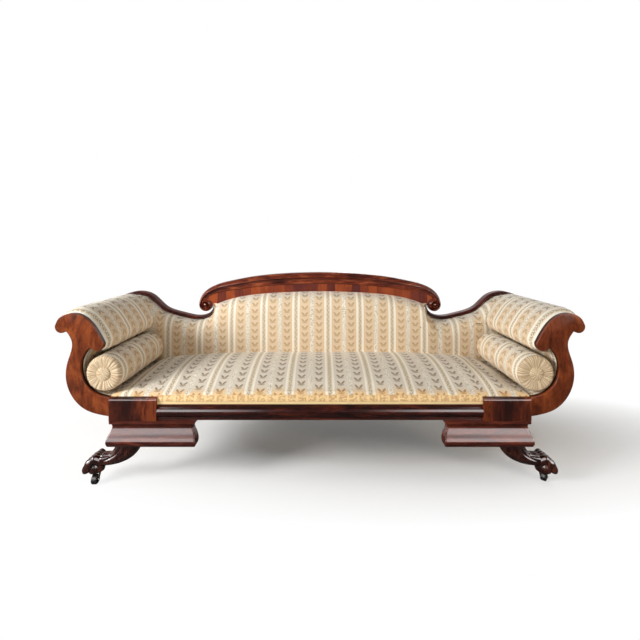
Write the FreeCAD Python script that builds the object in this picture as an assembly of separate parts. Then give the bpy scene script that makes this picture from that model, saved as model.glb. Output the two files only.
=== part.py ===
"""Empire sofa: show-wood frame, upholstery, loose bolsters and casters, in millimetres.

+X is the sitter's left seen from the front (the viewer's right), +Y goes to the back, +Z is up.
The origin is on the floor, in the middle of the sofa's box.
"""
import FreeCAD, Part
import functools
import math
import os

# Overall sizes
overall_width = 2235.0
overall_depth = 640.0

# Heights, stacked from the floor
caster_height = 50.0
leg_height = 130.0
bracket_height = 103.0
rail_height = 74.0
block_height = 97.0
arm_rise = 448.0
crest_rise = 582.0

# Seat frame
rail_thickness = 45.0
rail_fillet = 10.0
rail_recess = 14.0
end_rail_thickness = 40.0
back_frame_thickness = 28.0
back_frame_inset = 8.0
block_width = 200.0
block_depth = 74.0
block_edge_radius = 14.0
brace_width = 50.0
brace_height = 40.0
brace_spacing = 580.0
corner_block_leg = 60.0
corner_block_height = 45.0

# Brackets under the front corners
bracket_width = 360.0
bracket_depth = 105.0
bracket_end_depth = 40.0
bracket_bulge = 16.0
bracket_neck = 15.0
bracket_fillet = 13.0
bracket_undercut = 1.0
bracket_neck_height = 18.5
bracket_bulge_height = 20.5

# Arms
arm_overhang = 231.5
facing_thickness = 22.0
facing_setback = 9.0
cover_inset = 3.0
inside_pad_thickness = 18.0
outside_cover_thickness = 4.0
arm_rail_width = 54.0
arm_rail_height = 46.0

# Back
crest_half_width = 678.0
crest_depth = 62.0
crest_taper = 0.42
crest_swing = 8.0
crest_trim = 4.0
torus_height = 59.0
volute_radius = 36.0
volute_depth = 66.0
volute_drop = 142.0
volute_edge_radius = 12.0
band_height = 46.0
band_thickness = 40.0
moulding_height = 22.0
moulding_depth = 46.0
moulding_low_rise = 329.0
ramp_rail_width = 50.0
stile_width = 45.0
stile_spacing = 1120.0
lower_rail_height = 45.0
lower_rail_gap = 70.0
back_cover_thickness = 4.0

# Upholstery
seat_front_rise = 44.0
seat_crown = 96.0
seat_back_rise = 86.0
seat_end_rise = 30.0
seat_end_crown = 5.0
seat_edge_radius = 16.0
back_pad_thickness = 96.0
back_pad_edge = 36.0
back_pad_rounding = 46.0
back_pad_edge_draw = 5.5
back_pad_tuck = 139.0
front_band_height = 21.0
front_band_thickness = 4.0
webbing_width = 50.0
webbing_thickness = 3.0
webbing_pitch = 105.0
dust_cover_thickness = 2.0
bolster_diameter = 158.0
bolster_crown = 16.0
bolster_button_diameter = 60.0
bolster_button_height = 9.0
bolster_button_sink = 6.3
bolster_front_setback = 6.0
bolster_draw = 3.0
bolster_side_room = 12.0

# Legs
leg_width = 104.0
leg_depth = 76.0
leg_setback = 30.0
caster_reach = 157.0
toe_radius = 15.0
toe_spacing = 21.0
ring_points = 8
paw_length = 92.0
paw_height = 92.0
rear_leg_width = 52.0
rear_leg_foot = 36.0
rear_leg_rake = 5.0

# Casters
wheel_diameter = 40.0
wheel_width = 22.0
wheel_edge_radius = 5.0
axle_diameter = 5.0
axle_head_diameter = 9.0
axle_head_height = 2.0
pintle_diameter = 8.0
pintle_head_diameter = 12.0
pintle_head_height = 2.0
caster_plate_diameter = 34.0
caster_plate_height = 3.0
horn_disc_diameter = 32.0
horn_disc_height = 3.5
horn_cheek_thickness = 3.0
caster_trail = 15.0
swivel_angles = {
    "left_front": -90.0,
    "right_front": 45.0,
    "left_rear": 160.0,
    "right_rear": 25.0,
}

# Clearances
running_clearance = 0.05
side_clearance = 0.6
soft_gap = 0.5
bolster_gap = 2.5
disc_gap = 0.3

# Places that follow from the sizes above
leg_bottom = caster_height
bracket_bottom = leg_bottom + leg_height
rail_bottom = bracket_bottom + bracket_height
rail_top = rail_bottom + rail_height
block_top = rail_bottom + block_height
crest_top = rail_bottom + crest_rise
block_outer = overall_width / 2 - arm_overhang
block_inner = block_outer - block_width
front_y = -overall_depth / 2
back_y = overall_depth / 2
block_front = front_y + bracket_bulge
block_back = block_front + block_depth
rail_front = block_front + rail_recess
rail_back = rail_front + rail_thickness
facing_front = block_front + facing_setback
facing_back = facing_front + facing_thickness
frame_back = back_y - back_frame_inset
frame_front = frame_back - back_frame_thickness
seat_back_y = frame_front - back_pad_thickness
leg_top_x = block_outer - leg_setback - leg_width / 2
leg_y = block_front + bracket_depth / 2
caster_x = leg_top_x + caster_reach
rear_leg_x = block_outer - end_rail_thickness - rear_leg_width / 2
rear_leg_y = frame_back - rear_leg_width / 2 + rear_leg_rake
bolster_front = facing_front + bolster_front_setback
button_stand = bolster_button_height - bolster_button_sink
bolster_back = seat_back_y - bolster_gap - button_stand
plate_low = caster_height - caster_plate_height
horn_disc_low = plate_low - disc_gap - horn_disc_height
caster_places = {
    "left_front": (-caster_x, leg_y),
    "right_front": (caster_x, leg_y),
    "left_rear": (-rear_leg_x, rear_leg_y),
    "right_rear": (rear_leg_x, rear_leg_y),
}


def vector(x, y, z):
    """A point in space."""
    return FreeCAD.Vector(x, y, z)


def line(start, end):
    """A straight edge."""
    return Part.LineSegment(start, end).toShape()


def arc(start, middle, end):
    """A round edge through three points."""
    return Part.Arc(start, middle, end).toShape()


def curve(points):
    """A smooth edge through the points."""
    spline = Part.BSplineCurve()
    spline.interpolate(points)
    return spline.toShape()


def face(edges):
    """A flat face inside a closed chain of edges."""
    return Part.Face(Part.Wire(edges))


def polygon(points):
    """A flat face with straight sides."""
    return Part.Face(Part.makePolygon(points + points[:1]))


def block(low_x, low_y, low_z, high_x, high_y, high_z):
    """A rectangular solid between two corners."""
    corner = vector(low_x, low_y, low_z)
    return Part.makeBox(high_x - low_x, high_y - low_y, high_z - low_z, corner)


def mirrored(shape):
    """The same piece on the other side of the sofa."""
    return shape.mirror(vector(0, 0, 0), vector(1, 0, 0))


def in_elevation(pairs, y):
    """Points of an outline seen from the front, at one depth."""
    return [vector(x, y, z) for x, z in pairs]


def shifted(pairs, distance):
    """The outline moved sideways by a distance, to the left of its direction."""
    moved = []
    for index, (x, z) in enumerate(pairs):
        before = pairs[max(index - 1, 0)]
        after = pairs[min(index + 1, len(pairs) - 1)]
        run = after[0] - before[0]
        rise = after[1] - before[1]
        length = math.hypot(run, rise)
        moved.append((x - distance * rise / length, z + distance * run / length))
    return moved


def largest(shape):
    """The main solid that a cut leaves."""
    return max(shape.Solids, key=lambda solid: solid.Volume)


def loft(wires):
    """A smooth solid through closed wires."""
    return Part.makeLoft(wires, True, False)


def moulding_run(path, section, stations):
    """A solid with a changing section along a smooth path in elevation.

    section(share) gives the half height, the front and the back of the section at a share of the run.
    """
    spline = Part.BSplineCurve()
    spline.interpolate(in_elevation(path, 0))
    wires = []
    for station in range(stations + 1):
        share = station / stations
        spot = spline.FirstParameter + share * (spline.LastParameter - spline.FirstParameter)
        centre = spline.value(spot)
        tangent = spline.tangent(spot)[0]
        across = vector(-tangent.z, 0, tangent.x)
        half, front, back = section(share)
        shoulder = front + half
        top_front = centre + across * half + vector(0, shoulder, 0)
        low_front = centre - across * half + vector(0, shoulder, 0)
        top_back = centre + across * half + vector(0, back, 0)
        low_back = centre - across * half + vector(0, back, 0)
        nose = centre + vector(0, front, 0)
        edges = [
            arc(top_front, nose, low_front),
            line(low_front, low_back),
            line(low_back, top_back),
            line(top_back, top_front),
        ]
        wires.append(Part.Wire(edges))
    return loft(wires)


# Seat frame


def front_seat_rail():
    """The front rail, with a half-round moulding between two thin fillets."""
    low = rail_bottom + rail_fillet
    high = rail_top - rail_fillet
    corners = [
        vector(-block_inner, rail_back, rail_bottom),
        vector(-block_inner, rail_front, rail_bottom),
        vector(-block_inner, rail_front, low),
        vector(-block_inner, rail_front, high),
        vector(-block_inner, rail_front, rail_top),
        vector(-block_inner, rail_back, rail_top),
    ]
    nose = vector(-block_inner, block_front, (low + high) / 2)
    edges = [line(corners[0], corners[1]), line(corners[1], corners[2])]
    edges += [arc(corners[2], nose, corners[3])]
    edges += [line(corners[3], corners[4]), line(corners[4], corners[5]), line(corners[5], corners[0])]
    return face(edges).extrude(vector(2 * block_inner, 0, 0))


def rear_seat_rail():
    """The plain rear rail, between the rear arm posts."""
    return block(-block_outer, frame_front, rail_bottom, block_outer, frame_back, rail_top)


def seat_end_rail():
    """The right end rail, from the front block to the rear rail."""
    inner = block_outer - end_rail_thickness
    return block(inner, block_back, rail_bottom, block_outer, frame_front, rail_top)


def seat_brace():
    """The right brace across the seat, dished along its top."""
    low_x = brace_spacing / 2 - brace_width / 2
    low = rail_bottom + dust_cover_thickness
    high = low + brace_height
    middle_y = (rail_back + frame_front) / 2
    corners = [
        vector(low_x, rail_back, low),
        vector(low_x, frame_front, low),
        vector(low_x, frame_front, high),
        vector(low_x, rail_back, high),
    ]
    dish = vector(low_x, middle_y, (low + high) / 2)
    edges = [line(corners[0], corners[1]), line(corners[1], corners[2])]
    edges += [arc(corners[2], dish, corners[3]), line(corners[3], corners[0])]
    return face(edges).extrude(vector(brace_width, 0, 0))


def corner_blocks():
    """Glued blocks in the rear corners and behind the front blocks."""
    inner = block_outer - end_rail_thickness
    low = rail_top - corner_block_height
    rear = polygon([
        vector(inner, frame_front, low),
        vector(inner - corner_block_leg, frame_front, low),
        vector(inner, frame_front - corner_block_leg, low),
    ])
    front = polygon([
        vector(inner, block_back, low),
        vector(inner - corner_block_leg, block_back, low),
        vector(inner, block_back + corner_block_leg, low),
    ])
    depth = vector(0, 0, corner_block_height - webbing_thickness)
    right = [rear.extrude(depth), front.extrude(depth)]
    return Part.makeCompound(right + [mirrored(piece) for piece in right])


def front_block():
    """The right corner block, with its top front edge rounded."""
    corner_z = block_top - block_edge_radius
    corner_y = block_front + block_edge_radius
    slant = block_edge_radius * (1 - math.sqrt(0.5))
    corners = [
        vector(block_inner, block_back, rail_bottom),
        vector(block_inner, block_front, rail_bottom),
        vector(block_inner, block_front, corner_z),
        vector(block_inner, corner_y, block_top),
        vector(block_inner, block_back, block_top),
    ]
    shoulder = vector(block_inner, block_front + slant, block_top - slant)
    edges = [line(corners[0], corners[1]), line(corners[1], corners[2])]
    edges += [arc(corners[2], shoulder, corners[3])]
    edges += [line(corners[3], corners[4]), line(corners[4], corners[0])]
    return face(edges).extrude(vector(block_width, 0, 0))


def ogee(top_edge, outward):
    """Offsets and heights down the bracket's side: fillet, cove, bulge and foot."""
    neck = top_edge - outward * bracket_neck
    bulge = top_edge + outward * bracket_bulge
    under_fillet = rail_bottom - bracket_fillet
    neck_z = under_fillet - bracket_neck_height
    bulge_z = bracket_bottom + bracket_bulge_height
    foot = bulge - outward * bracket_bulge / 2
    return [
        (top_edge, rail_bottom),
        (top_edge, under_fillet),
        (neck, under_fillet - bracket_undercut),
        (neck, neck_z),
        (bulge, bulge_z),
        (foot, bracket_bottom),
    ]


def ogee_edges(points):
    """The edges down one ogee side: two short straights, a cove and a round belly."""
    top, fillet, neck_top, neck, bulge, foot = points
    middle = (neck + bulge) * 0.5
    cove_bend = (neck + vector(neck.x, neck.y, bulge.z)) * 0.5
    cove = (middle + cove_bend) * 0.5
    belly_corner = vector(bulge.x, bulge.y, foot.z)
    belly = (bulge + foot + belly_corner) * (1 / 3)
    edges = [line(top, fillet), line(fillet, neck_top), line(neck_top, neck)]
    edges += [curve([neck, cove, bulge]), arc(bulge, belly, foot)]
    return edges


def front_bracket():
    """The right ogee bracket: the profile returns round both ends, and the inner end is shallow."""
    outer = block_outer
    inner = block_outer - bracket_width
    back = block_front + bracket_depth
    front_points = [vector(inner - bracket_bulge, y, z) for y, z in ogee(block_front, -1)]
    back_top = vector(inner - bracket_bulge, back, rail_bottom)
    back_low = vector(inner - bracket_bulge, back, bracket_bottom)
    edges = ogee_edges(front_points)
    edges += [line(front_points[-1], back_low), line(back_low, back_top), line(back_top, front_points[0])]
    along = face(edges).extrude(vector(bracket_width + 2 * bracket_bulge, 0, 0))
    outer_points = [vector(x, front_y, z) for x, z in ogee(outer, 1)]
    inner_points = [vector(x, front_y, z) for x, z in ogee(inner, -1)]
    edges = ogee_edges(outer_points) + [line(outer_points[-1], inner_points[-1])]
    edges += ogee_edges(inner_points)[::-1] + [line(inner_points[0], outer_points[0])]
    across = face(edges).extrude(vector(0, back - front_y, 0))
    end_back = block_front + bracket_end_depth
    waste = block(inner - 2 * bracket_bulge, end_back, bracket_bottom, block_inner, back, rail_bottom)
    return along.common(across).cut(waste)


# Legs and casters


def ring(centre, tilt, half_across, half_depth):
    """A smooth closed section; at tilt 0 it is level, and at tilt 90 it faces outward."""
    angle = math.radians(tilt)
    across = vector(math.cos(angle), 0, math.sin(angle))
    points = []
    for step in range(ring_points + 1):
        turn = 2 * math.pi * step / ring_points
        spot = across * (half_across * math.cos(turn)) + vector(0, half_depth * math.sin(turn), 0)
        points.append(centre + spot)
    arcs = [arc(*points[step:step + 3]) for step in range(0, ring_points, 2)]
    return Part.Wire(arcs)


def leg_shank():
    """The right front leg from the bracket down to the ankle, bowed outward."""
    stations = [
        (0.0, 1.0, 0, 1.0, 1.0),
        (0.12, 0.83, 4, 0.95, 0.95),
        (0.28, 0.66, 16, 0.8, 0.86),
        (0.50, 0.52, 26, 0.62, 0.76),
        (0.68, 0.44, 42, 0.47, 0.72),
        (0.85, 0.41, 70, 0.47, 0.8),
    ]
    wires = []
    for reach, rise, tilt, across, depth in stations:
        centre = vector(leg_top_x + reach * caster_reach, leg_y, leg_bottom + rise * leg_height)
        wires.append(ring(centre, tilt, across * leg_width / 2, depth * leg_depth / 2))
    return loft(wires)


def toe(place):
    """One toe of the right paw: place counts from -1.5 to 1.5 across the foot."""
    length = paw_length * (1.0 - 0.035 * abs(place))
    stations = [
        (-0.37, 0.62, 105, 1.15, 0.7),
        (-0.07, 0.74, 92, 1.25, 0.85),
        (0.20, 0.56, 48, 1.15, 1.0),
        (0.35, 0.31, 25, 1.0, 1.05),
        (0.38, 0.08, -5, 0.72, 1.05),
    ]
    wires = []
    for reach, rise, tilt, size, splay in stations:
        x = caster_x + reach * length
        y = leg_y + place * toe_spacing * splay
        centre = vector(x, y, leg_bottom + rise * paw_height)
        wires.append(ring(centre, tilt, toe_radius * size, toe_radius * size * 0.9))
    return loft(wires)


def paw_sole():
    """The flat-bottomed pad under the toes."""
    half = toe_spacing * 1.9
    stations = [(0.0, 0.42, 0.9), (0.18, 0.5, 1.0), (0.52, 0.38, 0.78)]
    wires = []
    for rise, across, depth in stations:
        centre = vector(caster_x - 0.09 * paw_length, leg_y, leg_bottom + rise * paw_height)
        wires.append(ring(centre, 0, across * paw_length, half * depth))
    return loft(wires)


def ankle_tuft():
    """The carved tuft that lies back over the ankle."""
    stations = [(-0.18, 0.76, 75, 1.3, 1.7), (-0.45, 0.86, 100, 0.85, 1.4), (-0.72, 0.95, 110, 0.25, 0.5)]
    wires = []
    for reach, rise, tilt, across, depth in stations:
        centre = vector(caster_x + reach * paw_length, leg_y, leg_bottom + rise * paw_height)
        wires.append(ring(centre, tilt, across * toe_radius, depth * toe_radius))
    return loft(wires)


def front_leg():
    """The right front leg with its paw."""
    pieces = [toe(place) for place in (-1.5, -0.5, 0.5, 1.5)]
    pieces += [paw_sole(), ankle_tuft()]
    return leg_shank().multiFuse(pieces)


def rear_leg():
    """The right rear leg: square, tapered and raked back."""
    top_y = frame_back - rear_leg_width / 2
    wires = []
    for z, y, width in (
        (rail_bottom, top_y, rear_leg_width),
        (leg_bottom, top_y + rear_leg_rake, rear_leg_foot),
    ):
        half = width / 2
        corners = [(-half, -half), (half, -half), (half, half), (-half, half), (-half, -half)]
        wires.append(Part.makePolygon([vector(rear_leg_x + x, y + dy, z) for x, dy in corners]))
    return Part.makeLoft(wires, True, True)


def disc(diameter, height, low):
    """An upright round plate on the caster's swivel line."""
    return Part.makeCylinder(diameter / 2, height, vector(0, 0, low))


def cross_bar(diameter, start, end):
    """A round bar along the caster's axle line."""
    centre = vector(caster_trail, start, wheel_diameter / 2)
    return Part.makeCylinder(diameter / 2, end - start, centre, vector(0, 1, 0))


def caster_plate():
    """The plate under the foot, with the pintle and its riveted head."""
    plate = disc(caster_plate_diameter, caster_plate_height, plate_low)
    head_top = horn_disc_low - disc_gap
    pintle = disc(pintle_diameter, plate_low - head_top, head_top)
    head = disc(pintle_head_diameter, pintle_head_height, head_top - pintle_head_height)
    return plate.multiFuse([pintle, head])


def caster_horn():
    """The swivelling fork: a disc with two cheeks that carry the axle."""
    cheek_in = wheel_width / 2 + side_clearance
    axle_z = wheel_diameter / 2
    boss = axle_head_diameter / 2 + horn_cheek_thickness / 2
    half = horn_disc_diameter / 4
    high = horn_disc_low + horn_disc_height
    corners = [
        vector(-half, cheek_in, high),
        vector(half, cheek_in, high),
        vector(caster_trail + boss, cheek_in, axle_z),
        vector(caster_trail - boss, cheek_in, axle_z),
    ]
    under = vector(caster_trail, cheek_in, axle_z - boss)
    edges = [line(corners[0], corners[1]), line(corners[1], corners[2])]
    edges += [arc(corners[2], under, corners[3]), line(corners[3], corners[0])]
    cheek = face(edges).extrude(vector(0, horn_cheek_thickness, 0))
    other = cheek.mirror(vector(0, 0, 0), vector(0, 1, 0))
    top = disc(horn_disc_diameter, horn_disc_height, horn_disc_low)
    whole = top.multiFuse([cheek, other])
    outside = cheek_in + horn_cheek_thickness
    hole = disc(pintle_diameter + 2 * running_clearance, horn_disc_height, horn_disc_low)
    return whole.cut(hole).cut(cross_bar(axle_diameter, -outside, outside))


def caster_axle():
    """The axle pin with a head at both ends."""
    outside = wheel_width / 2 + side_clearance + horn_cheek_thickness
    far = outside + axle_head_height
    pin = cross_bar(axle_diameter, -outside, outside)
    return pin.multiFuse([
        cross_bar(axle_head_diameter, outside, far),
        cross_bar(axle_head_diameter, -far, -outside),
    ])


def caster_wheel():
    """The wheel, with rounded edges and a bore that runs on the pin."""
    half = wheel_width / 2
    tread = cross_bar(wheel_diameter, -half, half)
    rims = [edge for edge in tread.Edges if edge.Closed]
    rounded = tread.makeFillet(wheel_edge_radius, rims)
    return rounded.cut(cross_bar(axle_diameter + 2 * running_clearance, -half, half))


def placed(shape, corner):
    """A caster piece moved to its corner and turned to its swivel angle."""
    x, y = caster_places[corner]
    moved = shape.copy()
    moved.rotate(vector(0, 0, 0), vector(0, 0, 1), swivel_angles[corner])
    moved.translate(vector(x, y, 0))
    return moved


# Arms


def arm_outline(inset):
    """The arm's outline seen from the front, from its foot round the scroll and back to the foot.

    The pairs are shares of the arm's overhang and rise, measured from the block's lower outer corner.
    """
    shares = [
        (0.0, 0.036), (0.482, 0.112), (0.767, 0.315), (0.771, 0.540), (0.691, 0.737), (0.797, 0.837),
        (0.950, 0.828), (1.0, 0.884),
        (0.935, 0.953), (0.624, 1.0), (0.335, 0.906), (0.114, 0.719),
        (0.136, 0.676), (0.205, 0.647), (0.287, 0.654), (0.365, 0.683),
        (0.495, 0.587), (0.529, 0.482), (0.400, 0.310), (0.244, 0.248), (0.0, 0.214),
    ]
    pairs = [(block_outer + x * arm_overhang, rail_bottom + z * arm_rise) for x, z in shares]
    moved = shifted(pairs, inset)
    moved[0] = (block_outer, moved[0][1])
    moved[-1] = (block_outer, moved[-1][1])
    return moved


def arm_sweep(inset):
    """The outer S of the arm, from its foot to the underside of the scroll."""
    return arm_outline(inset)[:6]


def arm_scroll(inset):
    """The scroll of the arm, from its underside over the top to the notch below the ear."""
    return arm_outline(inset)[5:16]


def arm_hollow(inset):
    """The hollow of the arm, from the notch down to the foot."""
    return arm_outline(inset)[15:]


def scroll_edges(pairs, y):
    """The edges of the scroll: nose, top and the round ear."""
    points = in_elevation(pairs, y)
    return [arc(*points[0:3]), curve(points[2:7]), arc(*points[6:9]), arc(*points[8:11])]


def arm_face(inset, y):
    """The whole arm outline as a flat face."""
    sweep = in_elevation(arm_sweep(inset), y)
    hollow = in_elevation(arm_hollow(inset), y)
    edges = [curve(sweep)] + scroll_edges(arm_scroll(inset), y) + [curve(hollow)]
    edges.append(line(hollow[-1], sweep[0]))
    return face(edges)


def arm_facing():
    """The right show-wood arm facing."""
    return arm_face(0, facing_front).extrude(vector(0, facing_thickness, 0))


def arm_core_corner():
    """The point inside the arm where the scroll's underside meets the inside pad's back."""
    return arm_hollow(cover_inset + inside_pad_thickness)[0]


def arm_rail_box():
    """The low and high corners of the top rail's section."""
    core = arm_core_corner()
    low_x = core[0] + soft_gap
    low_z = core[1] + inside_pad_thickness / 2
    return low_x, low_z, low_x + arm_rail_width, low_z + arm_rail_height


def arm_top_rail():
    """The right rail inside the arm's scroll, from the facing to the rear post."""
    low_x, low_z, high_x, high_z = arm_rail_box()
    return block(low_x, facing_back, low_z, high_x, frame_front, high_z)


@functools.cache
def arm_roll_pad():
    """The right stuffed roll over the top rail."""
    scroll = arm_scroll(cover_inset)
    points = in_elevation(scroll, facing_back)
    core = in_elevation([arm_core_corner()], facing_back)[0]
    edges = scroll_edges(scroll, facing_back) + [line(points[-1], core), line(core, points[0])]
    roll = face(edges).extrude(vector(0, frame_front - facing_back, 0))
    low_x, low_z, high_x, high_z = arm_rail_box()
    pocket = block(low_x, facing_back, rail_top, high_x, frame_front, high_z)
    return roll.cut(pocket)


def inside_arm_pad():
    """The right pad in the hollow of the arm, from the notch down to the end rail."""
    front = in_elevation(arm_hollow(cover_inset), facing_back)
    back = in_elevation(arm_hollow(cover_inset + inside_pad_thickness), facing_back)
    back[-1] = vector(block_outer + soft_gap, facing_back, rail_top + soft_gap)
    edges = [curve(front), line(front[-1], back[-1]), curve(back[::-1]), line(back[0], front[0])]
    return face(edges).extrude(vector(0, frame_front - facing_back, 0))


def outside_arm_cover():
    """The right outside cover, stretched along the arm's outer S."""
    outer = in_elevation(arm_sweep(cover_inset), facing_back)
    inner = in_elevation(arm_sweep(cover_inset + outside_cover_thickness), facing_back)
    edges = [curve(outer), line(outer[-1], inner[-1]), curve(inner[::-1]), line(inner[0], outer[0])]
    cover = face(edges).extrude(vector(0, frame_back - facing_back, 0))
    return largest(cover.cut(arm_roll_pad()))


def rear_arm_post():
    """The right rear post: a board cut to the arm's shape, under the back moulding."""
    inset = cover_inset + outside_cover_thickness + soft_gap
    post = arm_face(inset, frame_front).extrude(vector(0, back_frame_thickness, 0))
    return post.cut(back_ramp_rail())


# Back


def crest_path():
    """The middle line of the crest's round moulding, from the centre to the right volute."""
    half = torus_height / 2
    drops = [(0.0, 0), (0.41, 12), (0.74, 48), (0.885, 82), (0.945, 112), (0.955, 142)]
    return [(share * crest_half_width, crest_top - half - drop) for share, drop in drops]


def volute_centre():
    """The centre of the right volute."""
    x = crest_half_width - volute_radius
    return x, crest_top - torus_height / 2 - volute_drop


def crest_section(share):
    """The crest moulding's half height, front and back, narrowing towards the volute."""
    half = torus_height / 2 * (1 - crest_taper * share ** 3)
    return half, back_y - crest_depth + crest_swing * share, back_y + crest_trim


@functools.cache
def crest_rail():
    """The arched crest moulding with a volute at each end, planed flat behind."""
    right = moulding_run(crest_path(), crest_section, 10)
    x, z = volute_centre()
    front = vector(x, back_y - volute_depth, z)
    volute = Part.makeCylinder(volute_radius, volute_depth + crest_trim, front, vector(0, 1, 0))
    rims = [edge for edge in volute.Edges if edge.Closed and edge.CenterOfMass.y < back_y - 1]
    volute = volute.makeFillet(volute_edge_radius, rims)
    right = right.fuse(volute)
    whole = right.fuse(mirrored(right))
    half_width = overall_width / 2
    waste = block(-half_width, back_y, rail_top, half_width, back_y + 2 * crest_trim, crest_top + crest_trim)
    return whole.cut(waste).removeSplitter()


def band_low_edge():
    """The lower edge of the veneered band, from the centre to its right end."""
    drops = [(0.0, 0), (0.46, 13), (0.63, 27), (0.76, 50), (0.85, 72)]
    top = crest_top - torus_height - band_height
    return [(share * crest_half_width, top - drop) for share, drop in drops]


@functools.cache
def crest_band():
    """The veneered board under the crest moulding."""
    low = band_low_edge()
    whole_low = [(-x, z) for x, z in low[:0:-1]] + low
    high = crest_path()[:4]
    whole_high = [(-x, z) for x, z in high[:0:-1]] + high
    low_points = in_elevation(whole_low, frame_back - band_thickness)
    high_points = in_elevation(whole_high, frame_back - band_thickness)
    edges = [curve(low_points), line(low_points[-1], high_points[-1])]
    edges += [curve(high_points[::-1]), line(high_points[0], low_points[0])]
    return face(edges).extrude(vector(0, band_thickness, 0)).cut(crest_rail())


def moulding_path(drop):
    """The serpentine from the arm's scroll down to the low and up under the volute, lowered by drop."""
    tip = overall_width / 2
    volute_x, volute_z = volute_centre()
    arm_top = rail_bottom + arm_rise
    low_x = volute_x + volute_radius
    low_z = rail_bottom + moulding_low_rise
    middle_x = (low_x + tip) / 2 - 25
    pairs = [
        (tip - 6, arm_top - 6),
        (tip - 83, arm_top + 17),
        (tip - 167, arm_top),
        (middle_x, (arm_top + low_z) / 2 - 8),
        ((low_x + middle_x) / 2, low_z + 17),
        (low_x, low_z),
        (low_x - 50, low_z + 12),
        (low_x - 80, low_z + 38),
        (low_x - 92, low_z + 68),
    ]
    return shifted(pairs, drop)


@functools.cache
def back_moulding():
    """The right serpentine bead along the top of the back."""
    half = moulding_height / 2
    front = frame_back - moulding_depth
    return moulding_run(moulding_path(0), lambda share: (half, front, frame_back), 16).cut(crest_rail())


@functools.cache
def back_ramp_rail():
    """The right sawn rail under the bead, from the stile to the arm."""
    half = moulding_height / 2
    high = in_elevation(moulding_path(half)[:6], frame_front)
    low = in_elevation(moulding_path(half + ramp_rail_width)[:6], frame_front)
    inner = stile_spacing / 2 + stile_width / 2
    high_end = vector(inner, frame_front, high[-1].z)
    low_end = vector(inner, frame_front, low[-1].z)
    edges = [curve(high), line(high[-1], high_end), line(high_end, low_end), line(low_end, low[-1])]
    edges += [curve(low[::-1]), line(low[0], high[0])]
    return largest(face(edges).extrude(vector(0, back_frame_thickness, 0)).cut(back_moulding()))


def back_stile():
    """The right stile, from the rear seat rail up to the crest band."""
    low_x = stile_spacing / 2 - stile_width / 2
    stile = block(low_x, frame_front, rail_top, low_x + stile_width, frame_back, crest_top - torus_height)
    for neighbour in (crest_rail(), crest_band(), back_moulding()):
        stile = stile.cut(neighbour)
    return largest(stile)


def back_lower_rail():
    """The rail between the stiles, above the seat, where the back is tacked."""
    half = stile_spacing / 2 - stile_width / 2
    low = rail_top + lower_rail_gap
    return block(-half, frame_front, low, half, frame_back, low + lower_rail_height)


# Upholstery


def seat_section(x, share):
    """The seat pad's section across one spot of its length; share is 1 at the middle and 0 at the ends."""
    front_rise = seat_end_rise + share * (seat_front_rise - seat_end_rise)
    end_crown = seat_end_rise + seat_end_crown
    crown = end_crown + share * (seat_crown - end_crown)
    back_rise = seat_end_rise + share * (seat_back_rise - seat_end_rise)
    seat_front = rail_front + front_band_thickness
    seat_back = seat_back_y - soft_gap
    slant = seat_edge_radius * (1 - math.sqrt(0.5))
    low_front = vector(x, seat_front, rail_top)
    edge_low = vector(x, seat_front, rail_top + front_rise - seat_edge_radius)
    edge = vector(x, seat_front + slant, rail_top + front_rise - slant)
    edge_high = vector(x, seat_front + seat_edge_radius, rail_top + front_rise)
    middle = vector(x, (seat_front + seat_back) / 2, rail_top + crown)
    high_back = vector(x, seat_back, rail_top + back_rise)
    low_back = vector(x, seat_back, rail_top)
    edges = [line(low_front, edge_low), arc(edge_low, edge, edge_high), arc(edge_high, middle, high_back)]
    edges += [line(high_back, low_back), line(low_back, low_front)]
    return Part.Wire(edges)


def seat_pad():
    """The crowned seat, lower towards the arms, let in behind the front blocks."""
    end = block_outer - soft_gap
    places = [(-1.0, 0.0), (-0.85, 0.62), (-0.5, 0.93), (0.0, 1.0), (0.5, 0.93), (0.85, 0.62), (1.0, 0.0)]
    pad = loft([seat_section(place * end, share) for place, share in places])
    right = front_block()
    return pad.cut(right).cut(mirrored(right))


def seat_front_band():
    """The gold band along the seat's front edge, between the blocks."""
    low = vector(-block_inner, rail_front + front_band_thickness, rail_top)
    high = low + vector(0, 0, front_band_height)
    bow = (low + high) * 0.5 - vector(0, front_band_thickness, 0)
    return face([arc(low, bow, high), line(high, low)]).extrude(vector(2 * block_inner, 0, 0))


def back_pad_section(y, inset):
    """The right half of the back pad's outline at one depth, drawn in along its top by inset."""
    beads = moulding_path(moulding_height / 2 + soft_gap + inset)[1:-1]
    band = [(x, z - soft_gap - inset) for x, z in band_low_edge()[::-1]]
    side_x = block_outer + back_pad_tuck
    beads[0] = (side_x, beads[0][1])
    top = in_elevation(beads, y)
    crest = in_elevation(band, y)
    low_middle = vector(0, y, rail_top)
    low_side = vector(side_x, y, rail_top)
    edges = [line(low_middle, low_side), line(low_side, top[0]), curve(top), line(top[-1], crest[0])]
    edges += [curve(crest), line(crest[-1], low_middle)]
    return Part.Wire(edges)


def back_pad():
    """The stuffed back, rounded along its top and cut to the arms at its ends."""
    sections = [
        back_pad_section(frame_front, 0),
        back_pad_section(frame_front - back_pad_edge, back_pad_edge_draw),
        back_pad_section(seat_back_y, back_pad_rounding),
    ]
    arm = arm_face(0, facing_back).extrude(vector(0, frame_front - facing_back, 0))
    right = largest(loft(sections).cut(arm).cut(back_moulding()))
    return right.fuse(mirrored(right)).removeSplitter()


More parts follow.
